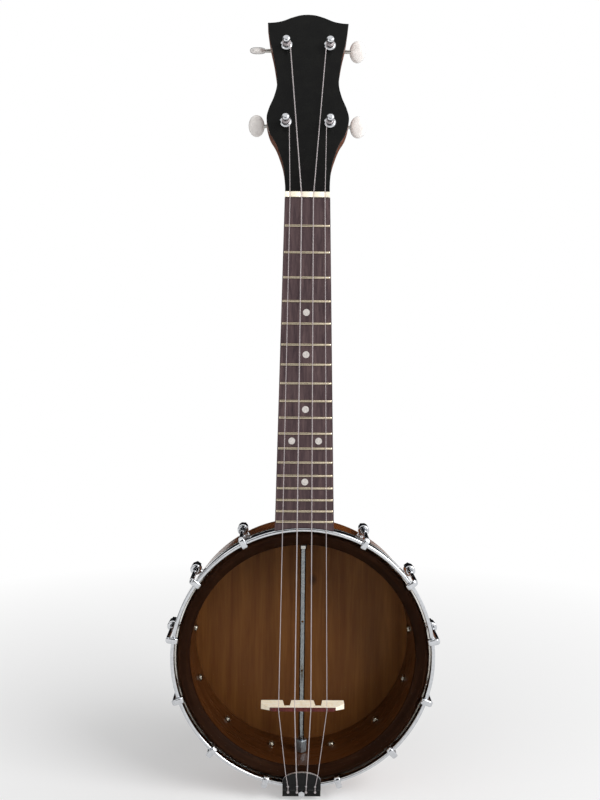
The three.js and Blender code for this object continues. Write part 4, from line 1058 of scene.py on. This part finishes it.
# ---- The four machines ----
PLATE_FRONT = HEAD_BACK + GAP
bushing_path = rounded([
    (BUSHING_BORE, -1.9, 0.2), (3.6, -1.9, 0.4), (4.6, -1.1, 0.3), (4.6, -GAP), (4, -GAP),
    (4, PLATE_FRONT + 0.2), (BUSHING_BORE, PLATE_FRONT + 0.2),
], ring=True)
plate_outline = [tuple(p) for p in rounded([
    (6, -4.7, 0.8), (6, 7.2, 0.8), (4.5, 8.7, 0.8), (-4.5, 8.7, 0.8),
    (-6, 7.2, 0.8), (-6, -4.7, 0.8), (-4.5, -6.2, 0.8), (4.5, -6.2, 0.8),
], ring=True, steps=3)]
plate = board_of(plate_outline, PLATE_FRONT, PLATE_FRONT + PLATE_THICK, 0.15, 0.3)
lug_outline = [(WORM_OFFSET + side * LUG_HALF, PLATE_FRONT + 0.6) for side in (1, -1)]
lug_outline += [
    (WORM_OFFSET - LUG_HALF * math.cos(a), WORM_DEPTH + LUG_HALF * math.sin(a))
    for a in (math.pi * k / 16 for k in range(17))
]
lugs = [
    lofted([[(place + x, y, z) for z, y in lug_outline] for x in (-0.6, 0.6)])
    for place in (-LUG_PLACE, LUG_PLACE)
]

post_path = rounded([
    (0, -10.4), (1.9, -10.4, 1.2), (2.9, -9.4, 0.9), (2.9, -8.15, 0.3), (2.1, -7.4, 0.5),
    (2.1, -2.3), (2.6, -2.3), (2.6, 17.4), (2.5, 17.4), (2.5, 20.75, 0.3), (1.6, 21.35, 0.4),
    (0, 21.35),
])

# The wheel's teeth lean with the worm's thread. A flank is radius and half width as an angle.
tooth_half = WORM_LEAD * 0.18
slope = math.tan(math.radians(20))
lean = WORM_LEAD * math.asin(WHEEL_HALF / WORM_PITCH) / (math.tau * WHEEL_PITCH)
tip, root = WHEEL_PITCH + 0.5, WHEEL_PITCH - 0.75
flank = [
    (root, (tooth_half + 0.75 * slope) / root), (WHEEL_PITCH, tooth_half / WHEEL_PITCH),
    (tip - 0.12, (tooth_half - 0.4 * slope) / tip),
    (tip, (tooth_half - 0.5 * slope) / tip * 0.55),
]
wheel_rings = []
for out in (-WHEEL_HALF, -1.3, -0.65, 0, 0.65, 1.3, WHEEL_HALF):
    inset = 0.2 if abs(out) == WHEEL_HALF else 0
    ring = []
    for k in range(WHEEL_TEETH):
        centre = math.tau * (k + 0.5) / WHEEL_TEETH + lean * out / WHEEL_HALF
        ring += [(radius - inset, centre - half) for radius, half in flank]
        ring += [(radius - inset, centre + half) for radius, half in reversed(flank)]
    wheel_rings.append([
        (radius * math.sin(a), WORM_DEPTH + out, radius * math.cos(a)) for radius, a in ring
    ])
wheel = lofted(wheel_rings)

# Along the worm the path runs as radius and place on its own axis
worm_path = rounded([
    (0, -6.8), (1.2, -6.8, 0.3), (1.2, -4.5), (1.9, -4.5, 0.15), (1.9, -3.9, 0.15), (1.15, -3.9),
    (1.15, 3.9), (1.9, 3.9, 0.15), (1.9, 4.5, 0.15), (1.2, 4.5), (1.2, 6.3), (1.5, 6.3, 0.15),
    (1.5, 20.7), (0, 20.7),
])
base = 1.15 * 0.78
half_thread = [
    (base, tooth_half + (WORM_PITCH - base) * slope),
    (WORM_PITCH + 0.4, tooth_half - 0.4 * slope),
    (WORM_PITCH + 0.5, (tooth_half - 0.5 * slope) * 0.6),
]
thread_section = half_thread + [(radius, -half) for radius, half in reversed(half_thread)]
thread_rings = []
for i in range(-36, 37):
    angle = math.tau * i / 24
    thread_rings.append([
        (WORM_LEAD * i / 24 + half, radius * math.sin(angle), -radius * math.cos(angle))
        for radius, half in thread_section
    ])
thread = lofted(thread_rings)

# Half the button's outline as radius share and thickness share, rounder than an ellipse
button_path = []
for k in range(25):
    a = math.pi * (k / 24 - 0.5)
    out = math.cos(a) ** 0.72 if 0 < k < 24 else 0
    button_path.append((out, math.copysign(abs(math.sin(a)) ** 0.8, a)))
bushing = turned(bushing_path, 56, ring=True)
post = turned(post_path, 48)
worm = turned(worm_path, 32)
button = turned(button_path, 72)
for name, (side, height) in post_places.items():
    here = HEAD @ MOVE((side * POST_SPREAD, 0, height)) @ Matrix.Diagonal((side, 1, 1, 1))
    along = here @ MOVE((0, WORM_DEPTH, WORM_OFFSET))
    shaft_frame = along @ ALONG_X
    turned_by = Matrix.Rotation(math.radians(BUTTON_TURNS[name]), 4, "X")
    oval = along @ MOVE((BUTTON_PLACE, 0, 0)) @ turned_by @ Matrix.Diagonal((*BUTTON_HALF, 1))
    frame_works = [
        ("DIFFERENCE", bar(BUSHING_BORE, 0, 20, 40), here),
        ("UNION", lugs[0], here),
        ("UNION", lugs[1], here),
        ("DIFFERENCE", bar(1.5, -9, 9, 32), shaft_frame),
    ]
    post_works = [
        ("DIFFERENCE", bar(0.6, -5, 5), here @ MOVE((0, -6.5, 0)) @ ALONG_Z),
        ("DIFFERENCE", box((-3, 20.9, -0.3), (3, 22, 0.3)), here),
    ]
    bored = [("DIFFERENCE", bar(1.75, 10, 21), shaft_frame)]
    worm_parts = [(worm, shaft_frame, nickel), (thread, along, nickel)]
    for kind, parts, body, node_name, slot, works in (
        (
            "machine_frame", [(plate, here, nickel)], "instrument", "tuner_frame", "chrome",
            frame_works,
        ),
        ("machine_bushing", [(bushing, here, chrome)], "instrument", "tuner_frame", "chrome", ()),
        ("string_post", [(post, here, chrome)], f"post_{name}", "tuner_post", "chrome", post_works),
        ("toothed_wheel", [(wheel, here, brass)], f"post_{name}", "tuner_post", "chrome", ()),
        ("worm_shaft", worm_parts, f"button_{name}", "tuner_worm", "chrome", ()),
        ("pearl_button", [(button, oval, pearl)], f"button_{name}", "tuner_button", "pearl", bored),
    ):
        piece(f"{kind}_{name}", parts, body, [f"{node_name}_{name}"], slot, works=works)

# ---- The strings ----
string_posts = ["lower_left", "upper_left", "upper_right", "lower_right"]
NOTCH_SLANT = math.hypot(NOTCH_HALF, NOTCH_DEPTH) / NOTCH_HALF


def over_notch(top, radius):
    """How high a string's middle lies when the string rests on both sides of a notch."""
    return top - NOTCH_DEPTH + (GAP + radius) * NOTCH_SLANT


def eased(corner, before, after, reach):
    """Points round a corner of a string, which bends over a short way."""
    start = corner + (before - corner).normalized() * reach
    end = corner + (after - corner).normalized() * reach
    return [
        (1 - t) ** 2 * start + 2 * t * (1 - t) * corner + t**2 * end
        for t in (k / 4 for k in range(5))
    ]


for i, radius in enumerate(STRING_RADII):
    side, height = post_places[string_posts[i]]
    spot = Vector((string_places(AT_NUT)[i], -over_notch(NUT_CROWN, radius), GAP))
    in_head = HEAD_IN_NECK.inverted() @ spot
    centre = Vector((side * POST_SPREAD, height))
    loop = WAIST_RADIUS + GAP + radius
    toward = Vector((in_head.x, in_head.z)) - centre
    start = math.atan2(toward.y, toward.x) - side * math.acos(loop / toward.length)
    lowest = -(BUSHING_FLANGE + GAP + POST_FOOT + GAP + radius)
    line = []
    for k in reversed(range(49)):
        a = start - side * math.tau * k / 24
        x, z = centre.x + loop * math.cos(a), centre.y + loop * math.sin(a)
        line.append(HEAD_IN_POT @ Vector((x, lowest - WINDING_PITCH * k / 24, z)))
    tail_clear = GAP + radius
    slot_x = string_places(AT_SLOTS)[i]
    on_bridge = -FILM - over_notch(BRIDGE_HEIGHT, radius)
    corners = [
        NECK_IN_POT @ spot,
        Vector((string_places(AT_BRIDGE)[i], on_bridge, -BRIDGE_BELOW)),
        Vector((string_places(AT_TAIL)[i], TAIL_TOP - 2.4 - tail_clear, -TAIL_FRONT)),
        Vector((slot_x, TAIL_TOP - tail_clear, -TAIL_LEG + 2.3)),
        Vector((slot_x, TAIL_TOP + 1, -104)),
    ]
    for k, corner in enumerate(corners[:-1]):
        before = corners[k - 1] if k else line[-1]
        line += eased(corner, before, corners[k + 1], 0.9 if k > 2 else 1.4)
    line.append(corners[-1])
    radii = [radius] * len(line)
    for k in range(1, 8):
        a = math.pi * k / 8
        line.append(Vector((slot_x, TAIL_TOP + 1, -105.3 + KNOT_RADIUS * math.cos(a))))
        radii.append(KNOT_RADIUS * math.sin(a))
    piece(
        f"nylon_string_{i + 1}",
        [(tube(line, radii), POT, nylon)],
        stands_for=[f"string_{i + 1}"],
        slot="nylon",
        sharp=60,
    )

# ---- Floor, light and camera ----
lowest_point = min(corner[2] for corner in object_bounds())


def looked_at(tree):
    """1 for what is seen by the eye, in mirrors or through clear bodies, and 0 for other light."""
    rays = node(tree, "LightPath").outputs
    seen = rays["Is Camera Ray"]
    for kind in ("Is Glossy Ray", "Is Transmission Ray"):
        seen = node(tree, "Math", {0: seen, 1: rays[kind]}, operation="MAXIMUM")
    return seen


def floor_surface(tree):
    """White paper that keeps the shadow near the object, and is white to the eye and in mirrors."""
    paper = node(tree, "BsdfDiffuse", {"Color": colour("#f4f4f4")})
    white = node(tree, "Emission", {"Color": (1, 1, 1, 1), "Strength": 1.0})
    spot = node(tree, "NewGeometry").outputs["Position"]
    far = node(
        tree, "VectorMath", {0: spot, 1: (0, 0, lowest_point)}, operation="DISTANCE",
    ).outputs["Value"]
    fade = node(tree, "MapRange", {
        "Value": far, "From Min": 0.12, "From Max": 0.75, "To Min": 0.35, "To Max": 1.0,
    })
    share = node(tree, "Math", {0: fade, 1: looked_at(tree)}, operation="MULTIPLY")
    return node(tree, "MixShader", {0: share, 1: paper, 2: white})


corners = [(x, y, lowest_point - 0.003) for x, y in ((-3, -3), (3, -3), (3, 3), (-3, 3))]
floor = shown("floor", mesh_of("floor", corners, [(0, 1, 2, 3)]))
floor.data.materials.append(material("white_paper", floor_surface))
floor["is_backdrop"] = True

world = bpy.data.worlds.new("soft room")
world.use_nodes = True
bpy.context.scene.world = world
tree = world.node_tree
tree.nodes.clear()
strength = node(tree, "MapRange", {"Value": looked_at(tree), "To Min": 0.3, "To Max": 1.0})
sky = node(tree, "Background", {"Color": (1, 1, 1, 1), "Strength": strength})
node(tree, "OutputWorld", {"Surface": sky})

for name, place, power in (("key", (1.25, -1.05, 0.75), 36), ("fill", (-1.0, -0.9, 0.2), 4)):
    light = bpy.data.lights.new(name, "AREA")
    light.size = 1.2
    light.energy = power
    made = shown(name, light)
    made.location = place
    aim = Vector((0, 0, -0.2)) - made.location
    made.rotation_euler = aim.to_track_quat("-Z", "Y").to_euler()
    made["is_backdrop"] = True

# Dark cards in front, on the left and behind, seen only in polished surfaces
card_grey = material(
    "dark_card", lambda tree: node(tree, "BsdfDiffuse", {"Color": colour("#1c1c1e")}),
)
for name, (x0, y0), (x1, y1) in (
    ("front_card", (-2.6, -2.3), (0.35, -2.3)),
    ("left_card", (-2.6, 0.6), (-2.6, -2.3)),
    ("rear_card", (1.5, 2.3), (-1.5, 2.3)),
):
    corners = [(x0, y0, -1.0), (x1, y1, -1.0), (x1, y1, 1.9), (x0, y0, 1.9)]
    card = shown(name, mesh_of(name, corners, [(0, 1, 2, 3)]))
    card.data.materials.append(card_grey)
    card.visible_camera = card.visible_diffuse = False
    card.visible_shadow = card.visible_transmission = False
    card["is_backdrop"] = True

# The camera stands where the picture was taken, worked out in the neck's own frame
pitch, yaw, roll = 0.007958243610, 0.014624966298, -0.009436949018
looking = (
    Matrix.Rotation(roll, 3, "Z") @ Matrix.Rotation(yaw, 3, "Y") @ Matrix.Rotation(pitch, 3, "X")
)
to_neck = Matrix(((1, 0, 0), (0, 0, -1), (0, 1, 0)))
turn = NECK.to_3x3().normalized() @ to_neck @ looking.transposed()
camera = shown("camera", bpy.data.cameras.new("camera"))
eye = NECK @ Vector((-14.779, -721.729, -147.904))
camera.matrix_world = MOVE(eye) @ turn.to_4x4()
camera.data.sensor_width = 36
camera.data.lens = 42.73
camera.data.clip_start = 0.01
bpy.context.scene.camera = camera
bpy.context.scene.view_settings.view_transform = "Standard"
